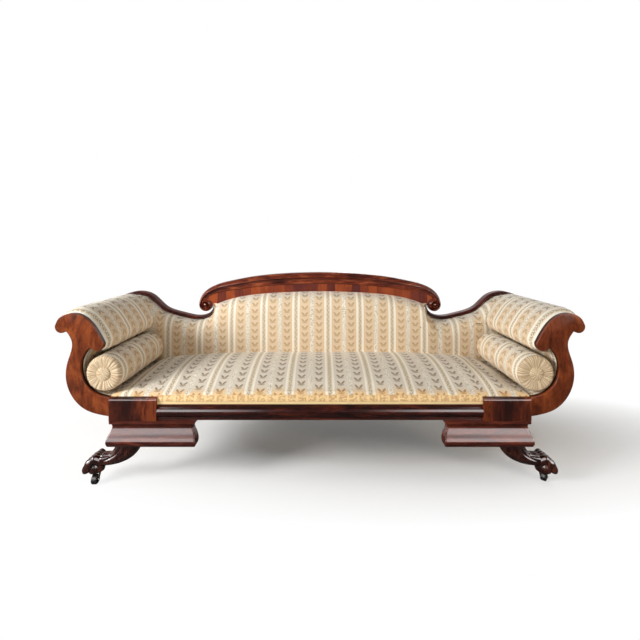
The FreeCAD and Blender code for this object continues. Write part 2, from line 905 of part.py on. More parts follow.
def outside_back_cover():
    """The cloth panel over the back of the frame."""
    sweep = in_elevation(arm_sweep(cover_inset), frame_back)
    nose = in_elevation(arm_scroll(cover_inset)[:3], frame_back)
    bead = in_elevation(moulding_path(0), frame_back)
    crest = in_elevation([(x, z + band_height / 2) for x, z in band_low_edge()[::-1]], frame_back)
    low_middle = vector(0, frame_back, rail_bottom)
    low_side = vector(block_outer, frame_back, rail_bottom)
    edges = [line(low_middle, low_side), line(low_side, sweep[0]), curve(sweep), arc(*nose)]
    edges += [line(nose[-1], bead[0]), curve(bead), line(bead[-1], crest[0]), curve(crest)]
    edges += [line(crest[-1], low_middle)]
    right = face(edges).extrude(vector(0, back_cover_thickness, 0))
    return right.fuse(mirrored(right)).removeSplitter().cut(crest_rail())


def seat_webbing():
    """Crossed webbing straps, tacked between the rails under the seat."""
    low = rail_top - webbing_thickness
    end = block_outer - end_rail_thickness
    straps = []
    across = frame_front - block_back
    rows = int(across // webbing_pitch)
    first_row = block_back + (across - (rows - 1) * webbing_pitch) / 2
    for row in range(rows):
        y = first_row + row * webbing_pitch
        straps.append(block(-end, y - webbing_width / 2, low, end, y + webbing_width / 2, rail_top))
    columns = 2 * int(block_inner // webbing_pitch)
    for column in range(columns):
        x = (column - (columns - 1) / 2) * webbing_pitch
        straps.append(block(x - webbing_width / 2, rail_back, low, x + webbing_width / 2, frame_front, rail_top))
    return straps[0].multiFuse(straps[1:]).removeSplitter()


def dust_cover():
    """The thin cloth under the seat frame."""
    end = block_outer - end_rail_thickness
    high = rail_bottom + dust_cover_thickness
    whole = block(-end, block_back, rail_bottom, end, frame_front, high)
    front = block(-block_inner, rail_back, rail_bottom, block_inner, block_back, high)
    return whole.fuse(front).removeSplitter()


def bolster_centre():
    """The right bolster's middle line, settled in the hollow of the arm."""
    radius = bolster_diameter / 2
    hollow = arm_hollow(0)
    edge = curve(in_elevation(hollow, 0))
    x = max(pair[0] for pair in hollow) - radius - bolster_side_room
    low = rail_top
    high = rail_bottom + arm_rise
    for _ in range(30):
        middle = (low + high) / 2
        room = Part.Vertex(x, 0, middle).distToShape(edge)[0]
        if room < radius + bolster_gap and middle < hollow[2][1]:
            low = middle
        else:
            high = middle
    return x, high


def bolster_profile(sign, end_y, centre):
    """The half outline of one end: the rim, the dished end and the seat of the button."""
    x, z = centre
    radius = bolster_diameter / 2
    rim = bolster_crown
    slant = rim * (1 - math.sqrt(0.5))
    button = bolster_button_diameter / 2
    dish = bolster_button_sink
    middle = (button + radius - rim) / 2
    points = [
        (radius - bolster_draw, rim), (radius - bolster_draw - slant, slant), (radius - bolster_draw - rim, 0),
        (middle, dish * 0.25), (button, dish), (0, dish),
    ]
    return [vector(x, end_y + sign * depth, z + out) for out, depth in points]


def bolster():
    """The right loose bolster: a stuffed roll, fuller at the middle, with gathered ends."""
    x, z = bolster_centre()
    front = bolster_profile(1, bolster_front, (x, z))
    back = bolster_profile(-1, bolster_back, (x, z))
    belly = vector(x, (bolster_front + bolster_back) / 2, z + bolster_diameter / 2)
    edges = [line(front[5], front[4]), arc(front[4], front[3], front[2]), arc(front[2], front[1], front[0])]
    edges += [arc(front[0], belly, back[0]), arc(back[0], back[1], back[2]), arc(back[2], back[3], back[4])]
    edges += [line(back[4], back[5]), line(back[5], front[5])]
    return face(edges).revolve(vector(x, 0, z), vector(0, 1, 0), 360)


def bolster_buttons():
    """The right bolster's covered buttons, one let into each end."""
    x, z = bolster_centre()
    button = bolster_button_diameter / 2 - soft_gap
    buttons = []
    for sign, end_y in ((1, bolster_front), (-1, bolster_back)):
        base_y = end_y + sign * bolster_button_sink
        base = vector(x, base_y, z)
        rim = vector(x, base_y, z + button)
        top_y = base_y - sign * bolster_button_height
        shoulder = vector(x, base_y - sign * bolster_button_height * 0.72, z + button * 0.75)
        flat = vector(x, top_y, z + button * 0.3)
        top = vector(x, top_y, z)
        section = face([line(base, rim), arc(rim, shoulder, flat), line(flat, top), line(top, base)])
        buttons.append(section.revolve(vector(x, 0, z), vector(0, 1, 0), 360))
    return Part.makeCompound(buttons)


# All the pieces by name

middle_pieces = {
    "front_seat_rail": front_seat_rail,
    "rear_seat_rail": rear_seat_rail,
    "corner_blocks": corner_blocks,
    "crest_rail": crest_rail,
    "crest_band": crest_band,
    "back_lower_rail": back_lower_rail,
    "seat_pad": seat_pad,
    "seat_front_band": seat_front_band,
    "back_pad": back_pad,
    "outside_back_cover": outside_back_cover,
    "seat_webbing": seat_webbing,
    "dust_cover": dust_cover,
}
paired_pieces = {
    "seat_end_rail": seat_end_rail,
    "seat_brace": seat_brace,
    "front_block": front_block,
    "front_bracket": front_bracket,
    "front_leg": front_leg,
    "rear_leg": rear_leg,
    "arm_facing": arm_facing,
    "arm_top_rail": arm_top_rail,
    "arm_roll_pad": arm_roll_pad,
    "inside_arm_pad": inside_arm_pad,
    "outside_arm_cover": outside_arm_cover,
    "rear_arm_post": rear_arm_post,
    "back_moulding": back_moulding,
    "back_ramp_rail": back_ramp_rail,
    "back_stile": back_stile,
    "bolster": bolster,
    "bolster_buttons": bolster_buttons,
}
caster_pieces = {
    "caster_horn": caster_horn,
    "caster_axle": caster_axle,
    "caster_wheel": caster_wheel,
}


def all_pieces():
    """Every piece of the sofa, by the name of its node."""
    pieces = {name: make() for name, make in middle_pieces.items()}
    for name, make in paired_pieces.items():
        right = make()
        pieces["right_" + name] = right
        pieces["left_" + name] = mirrored(right)
    plate = caster_plate()
    pieces["caster_plates"] = Part.makeCompound([placed(plate, corner) for corner in caster_places])
    for name, make in caster_pieces.items():
        piece = make()
        for corner in caster_places:
            pieces[corner + "_" + name] = placed(piece, corner)
    return pieces


def main():
    """Write one file for each piece."""
    os.makedirs("parts", exist_ok=True)
    for name, shape in all_pieces().items():
        shape.exportStep("parts/" + name + ".step")
        print(name, len(shape.Solids), shape.isValid(), round(shape.Volume))


if __name__ == "__main__":
    main()
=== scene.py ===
"""The looks of an empire sofa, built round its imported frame, in metres.

+X is the viewer's right, +Y goes to the back and +Z is up. Every piece is made in place.
"""

import logging
import math
from dataclasses import dataclass
from enum import Enum
from typing import Any, Callable, Sequence

import bmesh
import bpy
import numpy as np
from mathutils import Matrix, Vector


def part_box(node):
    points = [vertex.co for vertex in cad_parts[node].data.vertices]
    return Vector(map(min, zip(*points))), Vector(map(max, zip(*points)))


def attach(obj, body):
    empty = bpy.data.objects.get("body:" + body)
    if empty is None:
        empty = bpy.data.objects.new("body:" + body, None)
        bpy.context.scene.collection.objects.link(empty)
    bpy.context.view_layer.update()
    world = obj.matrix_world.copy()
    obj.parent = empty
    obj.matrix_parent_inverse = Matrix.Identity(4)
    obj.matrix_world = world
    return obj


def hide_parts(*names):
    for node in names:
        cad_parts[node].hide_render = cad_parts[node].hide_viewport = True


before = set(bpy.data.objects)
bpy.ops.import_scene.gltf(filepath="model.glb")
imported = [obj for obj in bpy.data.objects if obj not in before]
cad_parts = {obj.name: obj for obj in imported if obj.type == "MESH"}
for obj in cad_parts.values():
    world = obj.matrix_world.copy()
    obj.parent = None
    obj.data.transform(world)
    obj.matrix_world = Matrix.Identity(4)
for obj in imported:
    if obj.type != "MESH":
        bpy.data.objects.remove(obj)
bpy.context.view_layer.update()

log = logging.getLogger("empire_sofa")
Colour = tuple[float, float, float, float]
Pair = tuple[float, float]
Triple = tuple[float, float, float]
CLOTH_MAP = "cloth"
TURN = 2 * math.pi
TINY = 1e-9
WELD = 1e-5  # points that are closer are one point
EDGE_ANGLE = 35  # edges that turn by more degrees are softened
FABRIC_THICKNESS = 0.0016
STUFFING_FRAMES = 12  # frames of the cloth's simulation
FIT_ROUNDS = 12  # rounds in which a grid settles between its edges
TILT_SCALE = 1000  # a degree counts this much less than a metre along a limb
RAIL_RECESS = 0.014  # from the half-round's nose back to the rail's face
BEAD_LOW = 0.329  # the serpentine bead's lowest place, above the rail's underside
BAND_DROP = 0.105  # the veneered band's lower edge, below the crest's top
VOLUTE_OUT = 1.007  # the volute's outer side, as a share of half the crest
VOLUTE_DROP = 0.180  # the volute's centre, below the crest's top
finished: dict[str, bpy.types.Material] = {}


def srgb(red: int, green: int, blue: int) -> Colour:
    """A colour of 0 to 255 as linear light.

    Args:
        red: Share of red.
        green: Share of green.
        blue: Share of blue.

    Returns:
        The linear colour, with full cover.
    """
    shares = [value / 255 for value in (red, green, blue)]
    linear = [x / 12.92 if x <= 0.04045 else ((x + 0.055) / 1.055) ** 2.4 for x in shares]
    return linear[0], linear[1], linear[2], 1.0


def math_method(operation: str, reflected: bool = False) -> Callable[["Sock", "Sock | float"], "Sock"]:
    """Make an operator of Sock.

    Args:
        operation: What its Math node does.
        reflected: Whether the other value comes first.

    Returns:
        The method.
    """
    def method(self: "Sock", other: "Sock | float") -> "Sock":
        """Add the Math node."""
        values = (other, self) if reflected else (self, other)
        return self.graph.math(operation, *values)
    return method


class Sock:
    """A node's output in an expression: operators on it add Math nodes."""

    def __init__(self, graph: "Graph", socket: bpy.types.NodeSocket) -> None:
        """Wrap one output socket of a graph."""
        self.graph = graph
        self.socket = socket

    __add__, __radd__ = math_method("ADD"), math_method("ADD", True)
    __sub__, __rsub__ = math_method("SUBTRACT"), math_method("SUBTRACT", True)
    __mul__, __rmul__ = math_method("MULTIPLY"), math_method("MULTIPLY", True)
    __truediv__, __rtruediv__ = math_method("DIVIDE"), math_method("DIVIDE", True)
    __or__ = math_method("MAXIMUM")

    def __abs__(self) -> "Sock":
        """The size without its sign."""
        return self.graph.math("ABSOLUTE", self)

    def wave(self, pitch: float) -> "Sock":
        """A sine that repeats at a pitch."""
        return self.graph.math("SINE", self * (TURN / pitch))

    def steps(self, width: float) -> "Sock":
        """The number of the step that the value is in."""
        return self.graph.math("FLOOR", self / width)

    def wrapped(self, pitch: float) -> "Sock":
        """The distance from the middle of the repeat that the value is in."""
        return self.graph.math("WRAP", self, pitch / 2, -pitch / 2)

    def ping_pong(self, width: float) -> "Sock":
        """The value folded to and fro between 0 and a width."""
        return self.graph.math("PINGPONG", self, width)

    def within(self, limit: float, blur: float) -> "Sock":
        """A mask that is 1 below a limit and fades out over a blur."""
        return self.graph.math("MULTIPLY_ADD", self, -1 / blur, limit / blur + 0.5, clamp=True)

    def above(self, limit: float, blur: float) -> "Sock":
        """A mask that is 1 above a limit and fades out over a blur."""
        return self.graph.math("MULTIPLY_ADD", self, 1 / blur, 0.5 - limit / blur, clamp=True)


class Graph:
    """The node tree of one material or world."""

    def __init__(self, owner: bpy.types.Material | bpy.types.World) -> None:
        """Start with the owner's shader and nothing else.

        Args:
            owner: The material or world.
        """
        owner.use_nodes = True
        self.tree = owner.node_tree
        self.shader = next(node for node in self.tree.nodes if node.outputs)

    def add(self, kind: str, settings: dict[str, Any], sockets: dict[Any, Any], output: Any = 0) -> Sock:
        """Add a node.

        Args:
            kind: The node's type, without its prefix.
            settings: Properties, which are set first; "stops" are a ramp's places and colours.
            sockets: Values or links for its inputs, by name or number.
            output: The name or number of the output that is handed back.

        Returns:
            That output.
        """
        node = self.tree.nodes.new("ShaderNode" + kind)
        for name, value in settings.items():
            if name == "stops":
                self.set_stops(node, value)
            else:
                setattr(node, name, value)
        for key, value in sockets.items():
            self.feed(node.inputs[key], value)
        return Sock(self, node.outputs[output])

    def set_stops(self, node: bpy.types.Node, stops: Sequence[tuple[float, Colour]]) -> None:
        """Put stops on a colour ramp, in order.

        Args:
            node: The ramp.
            stops: Places and colours.
        """
        ramp = node.color_ramp
        while len(ramp.elements) < len(stops):
            ramp.elements.new(0.5)
        for element, (spot, colour) in zip(ramp.elements, stops):
            element.position = spot
            element.color = colour

    def feed(self, socket: bpy.types.NodeSocket, value: Any) -> None:
        """Link an output to an input, or set the input's value.

        Args:
            socket: The input.
            value: An output, or a plain value.
        """
        if isinstance(value, Sock):
            self.tree.links.new(value.socket, socket)
        else:
            socket.default_value = value

    def math(self, operation: str, *values: "Sock | float", clamp: bool = False) -> Sock:
        """One Math node on its values."""
        settings = {"operation": operation, "use_clamp": clamp}
        return self.add("Math", settings, dict(enumerate(values)))

    def mix(self, share: "Sock | float", low: "Sock | Colour", high: "Sock | Colour",
            way: str = "MIX") -> Sock:
        """Two colours mixed by a share."""
        return self.add("Mix", {"data_type": "RGBA", "blend_type": way}, {0: share, 6: low, 7: high}, 2)

    def place(self) -> Sock:
        """The place on the object, in metres."""
        return self.add("TexCoord", {}, {}, "Object")

    def stretched(self, spot: Sock, scale: Triple) -> Sock:
        """A place with each of its axes scaled."""
        return self.add("VectorMath", {"operation": "MULTIPLY"}, {0: spot, 1: scale})

    def noise(self, spot: Sock, scale: float, detail: float = 3.0, twist: float = 0.0) -> Sock:
        """Soft noise of about 0.5."""
        sockets = {"Vector": spot, "Scale": scale, "Detail": detail, "Distortion": twist}
        return self.add("TexNoise", {}, sockets, "Fac")

    def normal(self) -> tuple[Sock, Sock, Sock]:
        """The three numbers of the surface's direction."""
        return self.axes(self.add("NewGeometry", {}, {}, "Normal"))

    def axes(self, spot: Sock) -> tuple[Sock, Sock, Sock]:
        """The three numbers of a place.

        Args:
            spot: A vector.

        Returns:
            Its X, Y and Z.
        """
        node = self.add("SeparateXYZ", {}, {0: spot})
        outputs = node.socket.node.outputs
        return Sock(self, outputs[0]), Sock(self, outputs[1]), Sock(self, outputs[2])

    def cloth_place(self) -> tuple[Sock, Sock]:
        """The place across and along the cloth's stripes, in metres."""
        across, along, _ = self.axes(self.add("UVMap", {"uv_map": CLOTH_MAP}, {}))
        return across, along

    def bump(self, height: Sock, depth: float) -> None:
        """Give the surface a relief of a depth in metres."""
        settings = {"Height": height, "Strength": 1.0, "Distance": depth}
        self.feed(self.shader.inputs["Normal"], self.add("Bump", {}, settings))

    def set(self, **values: Any) -> None:
        """Feed the shader's sockets, with _ in place of spaces in their names."""
        for name, value in values.items():
            self.feed(self.shader.inputs[name.replace("_", " ")], value)


class Finish:
    """What every finish can do: make its material once."""

    name: str

    def dress(self, graph: Graph) -> None:
        """Fill the material's nodes."""
        raise NotImplementedError

    def material(self) -> bpy.types.Material:
        """The finish's material, made at its first use.

        Returns:
            The material.
        """
        if self.name not in finished:
            finished[self.name] = bpy.data.materials.new(self.name)
            self.dress(Graph(finished[self.name]))
        return finished[self.name]


@dataclass(frozen=True)
class Mahogany(Finish):
    """Polished mahogany, with its grain, figure, pores, worn edges and painted shade on faces that point
    down.
    """

    name: str
    dark: Colour
    middle: Colour
    light: Colour
    grain: Triple
    figure: float = 3.0
    wear: float = 0.35
    roughness: float = 0.2
    pore_scale: float = 9.0
    polish: float = 0.3
    dark_sides: float = 0.0
    dark_from: float = 0.0
    crotch_centre: float = 0.0
    crotch_half: float = 0.0

    def dress(self, graph: Graph) -> None:
        """Mix three browns by a wavering grain, darken the pores and paint shade on faces that point down.

        Args:
            graph: The material's nodes.
        """
        spot = graph.place()
        along = graph.stretched(spot, self.grain)
        flame = graph.noise(along, self.figure, 4.0, 1.4)
        lines = graph.noise(along, self.figure * 6, 6.0, 0.6)
        pores = graph.noise(along, self.figure * self.pore_scale * 4, 2.0)
        clouds = graph.noise(spot, 2.1, 2.0)
        tone = flame * 1.2 + lines * 0.5 + clouds * 0.3 - 0.52
        if self.crotch_half:
            off = abs(abs(graph.axes(spot)[0] + flame * 0.03) - self.crotch_centre - 0.015)
            tone = tone + off / self.crotch_half * 0.55 - 0.34
        stops = [(0.22, self.dark), (0.5, self.middle), (0.78, self.light)]
        colour = graph.add("ValToRGB", {"stops": stops}, {0: tone})
        pore = pores.above(0.62, 0.06) * 0.35
        colour = graph.mix(pore, colour, self.dark)
        edge = graph.add("NewGeometry", {}, {}, "Pointiness").above(0.56, 0.08) * self.wear
        colour = graph.mix(edge, colour, self.light)
        _, out, up = graph.normal()
        # painted shade: faces that point down are mixed toward the dark brown
        colour = graph.mix(up.within(-0.3, 0.5) * 0.55, colour, self.dark)
        shine = self.polish
        if self.dark_sides:
            inner = graph.axes(spot)[1].above(self.dark_from, 0.004)
            turned = abs(out).within(0.55, 0.3)
            colour = graph.mix(turned * inner * self.dark_sides, colour, srgb(26, 11, 9))
            shine = (1 - turned) * self.polish
        graph.set(Base_Color=colour, Roughness=self.roughness + lines * 0.1 + edge * 0.2)
        graph.set(Coat_Weight=shine, Coat_Roughness=0.08, Specular_IOR_Level=0.12)
        graph.bump(lines * 0.6 + pores * 0.4, 0.00012)


@dataclass(frozen=True)
class CrossVeneer(Finish):
    """Cross-banded veneer: short leaves side by side, each of its own shade."""

    name: str
    orange: Colour
    brown: Colour
    purple: Colour
    leaf: float = 0.047

    def dress(self, graph: Graph) -> None:
        """Give each leaf a shade from its number, with grain across the band.

        Args:
            graph: The material's nodes.
        """
        spot = graph.place()
        x, _, _ = graph.axes(spot)
        waver = graph.noise(spot, 9.0, 2.0) * 0.02
        number = (x + waver).steps(self.leaf)
        pick = graph.add("TexWhiteNoise", {"noise_dimensions": "1D"}, {"W": number}, 0)
        grain = graph.noise(graph.stretched(spot, (1.0, 1.0, 0.14)), 110.0, 5.0, 0.8)
        clouds = graph.noise(spot, 7.0, 2.0)
        tone = pick * 0.55 + clouds * 0.6 + grain * 0.35 - 0.28
        stops = [(0.2, self.purple), (0.48, self.brown), (0.75, self.orange)]
        colour = graph.add("ValToRGB", {"stops": stops}, {0: tone})
        graph.set(Base_Color=colour, Roughness=0.14 + grain * 0.1)
        graph.set(Coat_Weight=0.6, Coat_Roughness=0.06, Specular_IOR_Level=0.2)
        graph.bump(grain, 0.0001)


@dataclass(frozen=True)
class FrameWood(Finish):
    """Plain sawn wood of the hidden frame."""

    name: str = "sawn_frame_wood"
    pale: Colour = srgb(196, 160, 112)
    brown: Colour = srgb(140, 102, 64)

    def dress(self, graph: Graph) -> None:
        """Mix two shades along the grain, with saw marks.

        Args:
            graph: The material's nodes.
        """
        spot = graph.place()
        grain = graph.noise(graph.stretched(spot, (2.5, 14.0, 14.0)), 5.0, 6.0, 1.1)
        saw = graph.noise(graph.stretched(spot, (160.0, 30.0, 30.0)), 1.0, 2.0)
        colour = graph.mix(grain.above(0.5, 0.5), self.pale, self.brown)
        graph.set(Base_Color=colour, Roughness=0.55 + saw * 0.25)
        graph.bump(grain * 0.6 + saw * 0.4, 0.0004)


@dataclass(frozen=True)
class StripedFabric(Finish):
    """Woven stripe: cream stripes in pairs and singles on tan, with leaf sprigs on the tan."""

    name: str = "striped_fabric"
    tan: Colour = srgb(219, 196, 164)
    # painted sheen: the paler, cooler colour given to faces that point up
    sheen: Colour = srgb(216, 209, 196)
    cream: Colour = srgb(239, 231, 215)
    centre: Colour = srgb(228, 212, 184)
    leaf: Colour = srgb(182, 151, 110)
    # sprig colour painted darker on faces that point up, beside the painted sheen
    dark_leaf: Colour = srgb(108, 91, 68)
    vine: Colour = srgb(152, 134, 106)
    pleat: Colour = srgb(225, 211, 182)
    # fold: brown of the radial streaks on the gathered ends, partly the gathered stripes and partly painted
    # shade in the pleats' folds
    fold: Colour = srgb(150, 108, 60)
    front_gold: Colour = srgb(228, 196, 148)
    front_leaf: Colour = srgb(176, 126, 72)
    front_reach: float = 0.262
    gathered_at: float = -5.0
    repeat: float = 0.173
    offset: float = 0.043
    wide_half: float = 0.020
    line_width: float = 0.0095
    narrow_half: float = 0.0105
    sprig_pitch: float = 0.036
    thread: float = 0.0011
    vine_pitch: float = 0.024
    vine_sway: float = 0.0045

    def leaf_mask(self, across: Sock, along: Sock) -> Sock:
        """One sprig: two leaves that open upward, two leaflets below them and a stem.

        Args:
            across: Distance from the sprig's middle line.
            along: Height above the sprig's middle.

        Returns:
            The mask of the leaves and the stem.
        """
        leaves = self.blade(across, along, 46, (0.0092, 0.0035), (0.0112, 0.0043))
        leaflets = self.blade(across, along, 24, (0.0078, -0.0075), (0.0078, 0.0026))
        low = along + 0.0065
        stem = ((across * across + low * low) / 0.003 ** 2).within(1.0, 0.6)
        return leaves | stem | leaflets * 0.7

    def blade(self, across: Sock, along: Sock, slope: float, middle: Pair, size: Pair) -> Sock:
        """A pair of leaf blades, one on each side.

        Args:
            across: Distance from the sprig's middle line.
            along: Height above the sprig's middle.
            slope: How steeply the blades rise outward, in degrees.
            middle: The right blade's middle.
            size: Half its length and half its width.

        Returns:
            The mask of both blades.
        """
        tilt = math.radians(slope)
        side = abs(across) - middle[0]
        lift = along - middle[1]
        length = (side * math.cos(tilt) + lift * math.sin(tilt)) / size[0]
        width = (lift * math.cos(tilt) - side * math.sin(tilt)) / size[1]
        return (length * length + width * width).within(1.0, 0.5)

    def vine_mask(self, across: Sock, along: Sock) -> Sock:
        """A wavering stalk with a bead in each bend, along the middle of the double stripe.

        Args:
            across: Place across the stripes.
            along: Place along them.

        Returns:
            The mask of the vine.
        """
        signed = across.wrapped(self.repeat)
        wave = along.wave(self.vine_pitch) * self.vine_sway
        stalk = abs(signed - wave).within(0.0015, 0.001)
        dots = along.wave(self.vine_pitch / 2).above(0.1, 0.5)
        beads = abs(signed + wave).within(0.003, 0.0016) * dots
        return stalk | beads

    def dress(self, graph: Graph) -> None:
        """Weave the stripes, the sprigs and the vine; faces that point up get a painted, cooler sheen and
        painted darker sprigs.

        Args:
            graph: The material's nodes.
        """
        across, along = graph.cloth_place()
        across = across - self.offset
        spot = graph.place()
        half = self.repeat / 2
        off = across.ping_pong(half) + graph.noise(spot, 420.0, 2.0) * 0.0018 - 0.0009
        wide = off.within(self.wide_half, 0.0014)
        narrow = off.above(half - self.narrow_half, 0.0016)
        centre = off.within(self.wide_half - self.line_width, 0.0016)
        stripe = wide | narrow
        specks = graph.noise(spot, 250.0, 1.0).above(0.53, 0.06) * (narrow + centre * 0.5)
        shift = graph.math("MODULO", abs(across.steps(half)), 2.0) * (self.sprig_pitch / 2)
        row = (along + shift).wrapped(self.sprig_pitch)
        middle = (self.wide_half + half - self.narrow_half) / 2
        threads = graph.noise(spot, 900.0, 2.0)
        sprig = self.leaf_mask(off - middle, row) * (1 - stripe) * (0.45 + threads * 0.8)
        # faces that point up, where sheen is painted into the colour
        up = graph.normal()[2].above(0.76, 0.36)
        _, deep, high = graph.axes(spot)
        front = (0.0 - deep).above(self.front_reach, 0.03) * high.within(place.rail_top + 0.07, 0.02)
        # painted sheen on faces that point up
        ground = graph.mix(up * 0.75, self.tan, self.sheen)
        ground = graph.mix(front * 0.85, ground, self.front_gold)
        ground = graph.mix(stripe, ground, self.cream)
        ground = graph.mix(centre * 0.8, ground, self.centre)
        ground = graph.mix(specks * 0.7, ground, self.vine)
        ground = graph.mix(self.vine_mask(across, along) * wide * 0.9, ground, self.vine)
        # painted: sprigs darker on faces that point up
        leaves = graph.mix(up * 0.8, self.leaf, self.dark_leaf)
        colour = graph.mix(sprig, ground, graph.mix(front, leaves, self.front_leaf))
        fine = {"W": across, "Scale": 60.0, "Detail": 3.0}
        streaks = graph.add("TexNoise", {"noise_dimensions": "1D"}, fine, "Fac")
        # radial streaks: partly gathered stripes, partly painted shade in the folds
        pleat = graph.mix(streaks.above(0.49, 0.14) * 0.85, self.pleat, self.fold)
        colour = graph.mix(along.within(self.gathered_at / 2, 0.1), colour, pleat)
        weave = along.wave(self.thread) * across.wave(self.thread)
        clouds = graph.noise(spot, 6.0, 3.0)
        shade = 0.9 + clouds * 0.1 + threads * 0.1 + weave * 0.03
        grey = graph.add("CombineColor", {}, {0: shade, 1: shade, 2: shade})
        colour = graph.mix(1.0, colour, grey, "MULTIPLY")
        graph.set(Base_Color=colour, Roughness=0.74 - stripe * 0.2)
        graph.set(Sheen_Weight=0.08, Sheen_Roughness=0.35, Specular_IOR_Level=0.2)
        graph.bump(stripe * 0.35 + sprig * 0.5 + weave * 0.16 + threads * 0.3, 0.0005)


@dataclass(frozen=True)
class GoldGimp(Finish):
    """The gold band along the seat: a plain silk edge below a row of woven marks."""

    name: str = "gold_gimp"
    gold: Colour = srgb(242, 215, 160)
    shade: Colour = srgb(224, 190, 138)
    mark: Colour = srgb(188, 142, 92)
    rib: float = 0.0035
    pitch: float = 0.043
    edge: float = 0.005

    def dress(self, graph: Graph) -> None:
        """Fine ribs, broken brown marks in groups above the edge, and a line between.

        Args:
            graph: The material's nodes.
        """
        across, along = graph.cloth_place()
        spot = graph.place()
        ribs = (across + along * 0.35).wave(self.rib) * 0.5 + 0.5
        fibres = graph.noise(spot, 700.0, 2.0)
        colour = graph.mix(ribs.within(0.3, 0.5) * 0.25 + fibres * 0.2, self.gold, self.shade)
        high = graph.axes(spot)[2] - place.rail_top
        patterned = high.above(self.edge, 0.0015)
        blotches = graph.noise(graph.stretched(spot, (1.0, 1.0, 1.3)), 105.0, 4.0).above(0.48, 0.1)
        groups = across.wave(self.pitch).above(-0.75, 0.2)
        marks = patterned * blotches * groups
        colour = graph.mix(patterned * 0.5, colour, self.shade)
        line = abs(high - self.edge).within(0.0011, 0.0008) * 0.4
        colour = graph.mix(marks * 0.75 | line, colour, self.mark)
        graph.set(Base_Color=colour, Roughness=0.5 + fibres * 0.2, Sheen_Weight=0.2, Specular_IOR_Level=0.2)
        graph.bump(ribs * 0.7 + fibres * 0.3 - line, 0.0006)


@dataclass(frozen=True)
class PlainWeave(Finish):
    """A plain or striped utility cloth, for the webbing and the dust cover."""

    name: str
    ground: Colour
    stripe: Colour
    stripe_place: float
    stripe_half: float
    thread: float

    def dress(self, graph: Graph) -> None:
        """Coarse threads over and under, with one stripe on each side.

        Args:
            graph: The material's nodes.
        """
        across, along = graph.cloth_place()
        weave = across.wave(self.thread) * along.wave(self.thread)
        fibres = graph.noise(graph.place(), 500.0, 3.0)
        line = abs(abs(across) - self.stripe_place).within(self.stripe_half, 0.001)
        colour = graph.mix(line * 0.85, self.ground, self.stripe)
        colour = graph.mix(weave.within(-0.2, 0.8) * 0.35 + fibres * 0.25, colour, self.stripe)
        graph.set(Base_Color=colour, Roughness=0.8 + fibres * 0.15)
        graph.bump(weave * 0.6 + fibres * 0.5, 0.0005)


@dataclass(frozen=True)
class OldMetal(Finish):
    """Brass, steel or iron that has dulled with use."""

    name: str
    bright: Colour
    dull: Colour
    roughness: float
    metallic: float = 1.0

    def dress(self, graph: Graph) -> None:
        """Tarnish in patches, with fine scratches and bright worn edges.

        Args:
            graph: The material's nodes.
        """
        spot = graph.place()
        patches = graph.noise(spot, 55.0, 5.0, 0.5)
        scratches = graph.noise(graph.stretched(spot, (1.0, 1.0, 9.0)), 420.0, 2.0)
        edge = graph.add("NewGeometry", {}, {}, "Pointiness").above(0.54, 0.06)
        tarnish = patches.above(0.46, 0.25) * (1 - edge * 0.8)
        colour = graph.mix(tarnish, self.bright, self.dull)
        rough = self.roughness + tarnish * 0.2 + scratches * 0.1
        graph.set(Base_Color=colour, Roughness=rough, Metallic=self.metallic)
        graph.bump(patches * 0.4 + scratches * 0.6, 0.0002)


class Side(Enum):
    """The two sides of the sofa, with the sign of their X."""

    LEFT = -1
    RIGHT = 1

    @property
    def word(self) -> str:
        """The start of the side's node names."""
        return self.name.lower() + "_"


def evenly(line: np.ndarray, count: int) -> np.ndarray:
    """Points at even steps along a line.

    Args:
        line: The line's own points.
        count: How many points to give.

    Returns:
        The new points.
    """
    run = run_length(line)
    at = np.linspace(0, run[-1], count)
    return np.stack([np.interp(at, run, line[:, axis]) for axis in range(line.shape[1])], 1)


def run_length(line: np.ndarray) -> np.ndarray:
    """The length along a line up to each of its points."""
    return np.concatenate([[0.0], np.cumsum(np.linalg.norm(np.diff(line, axis=0), axis=1))])


def smooth_line(points: Sequence[Sequence[float]], count: int) -> np.ndarray:
    """A natural cubic through points.

    Args:
        points: The points that the line goes through.
        count: How many points to give.

    Returns:
        Points at even steps along the curve.
    """
    spots = np.asarray(points, float)
    knots = run_length(spots)
    gaps = np.diff(knots)
    slopes = np.diff(spots, axis=0) / gaps[:, None]
    size = len(spots)
    matrix = np.eye(size)
    right = np.zeros_like(spots)
    for index in range(1, size - 1):
        before, after = gaps[index - 1], gaps[index]
        matrix[index, index - 1:index + 2] = before, 2 * (before + after), after
        right[index] = 6 * (slopes[index] - slopes[index - 1])
    bends = np.linalg.solve(matrix, right)
    at = np.linspace(0, knots[-1], 30 * size)
    span = np.clip(np.searchsorted(knots, at) - 1, 0, size - 2)
    gap = gaps[span][:, None]
    low = (knots[span + 1] - at)[:, None] / gap
    high = 1 - low
    bend = (low ** 3 - low) * bends[span] + (high ** 3 - high) * bends[span + 1]
    return evenly(low * spots[span] + high * spots[span + 1] + bend * gap ** 2 / 6, count)


def round_line(start: Pair, middle: Pair, end: Pair, count: int) -> np.ndarray:
    """A round arc through three points in a plane.

    Args:
        start: Its first point.
        middle: A point on its way.
        end: Its last point.
        count: How many points to give.

    Returns:
        Points at even steps along the arc.
    """
    a, b, c = (complex(*point) for point in (start, middle, end))
    ratio = (c - a) / (b - a)
    centre = (b - a) * (ratio - abs(ratio) ** 2) / (ratio - ratio.conjugate()) + a
    first = np.angle(a - centre)
    way = np.angle((b - centre) / (a - centre)) + np.angle((c - centre) / (b - centre))
    spots = centre + abs(a - centre) * np.exp(1j * (first + way * np.linspace(0, 1, count)))
    return np.stack([spots.real, spots.imag], 1)


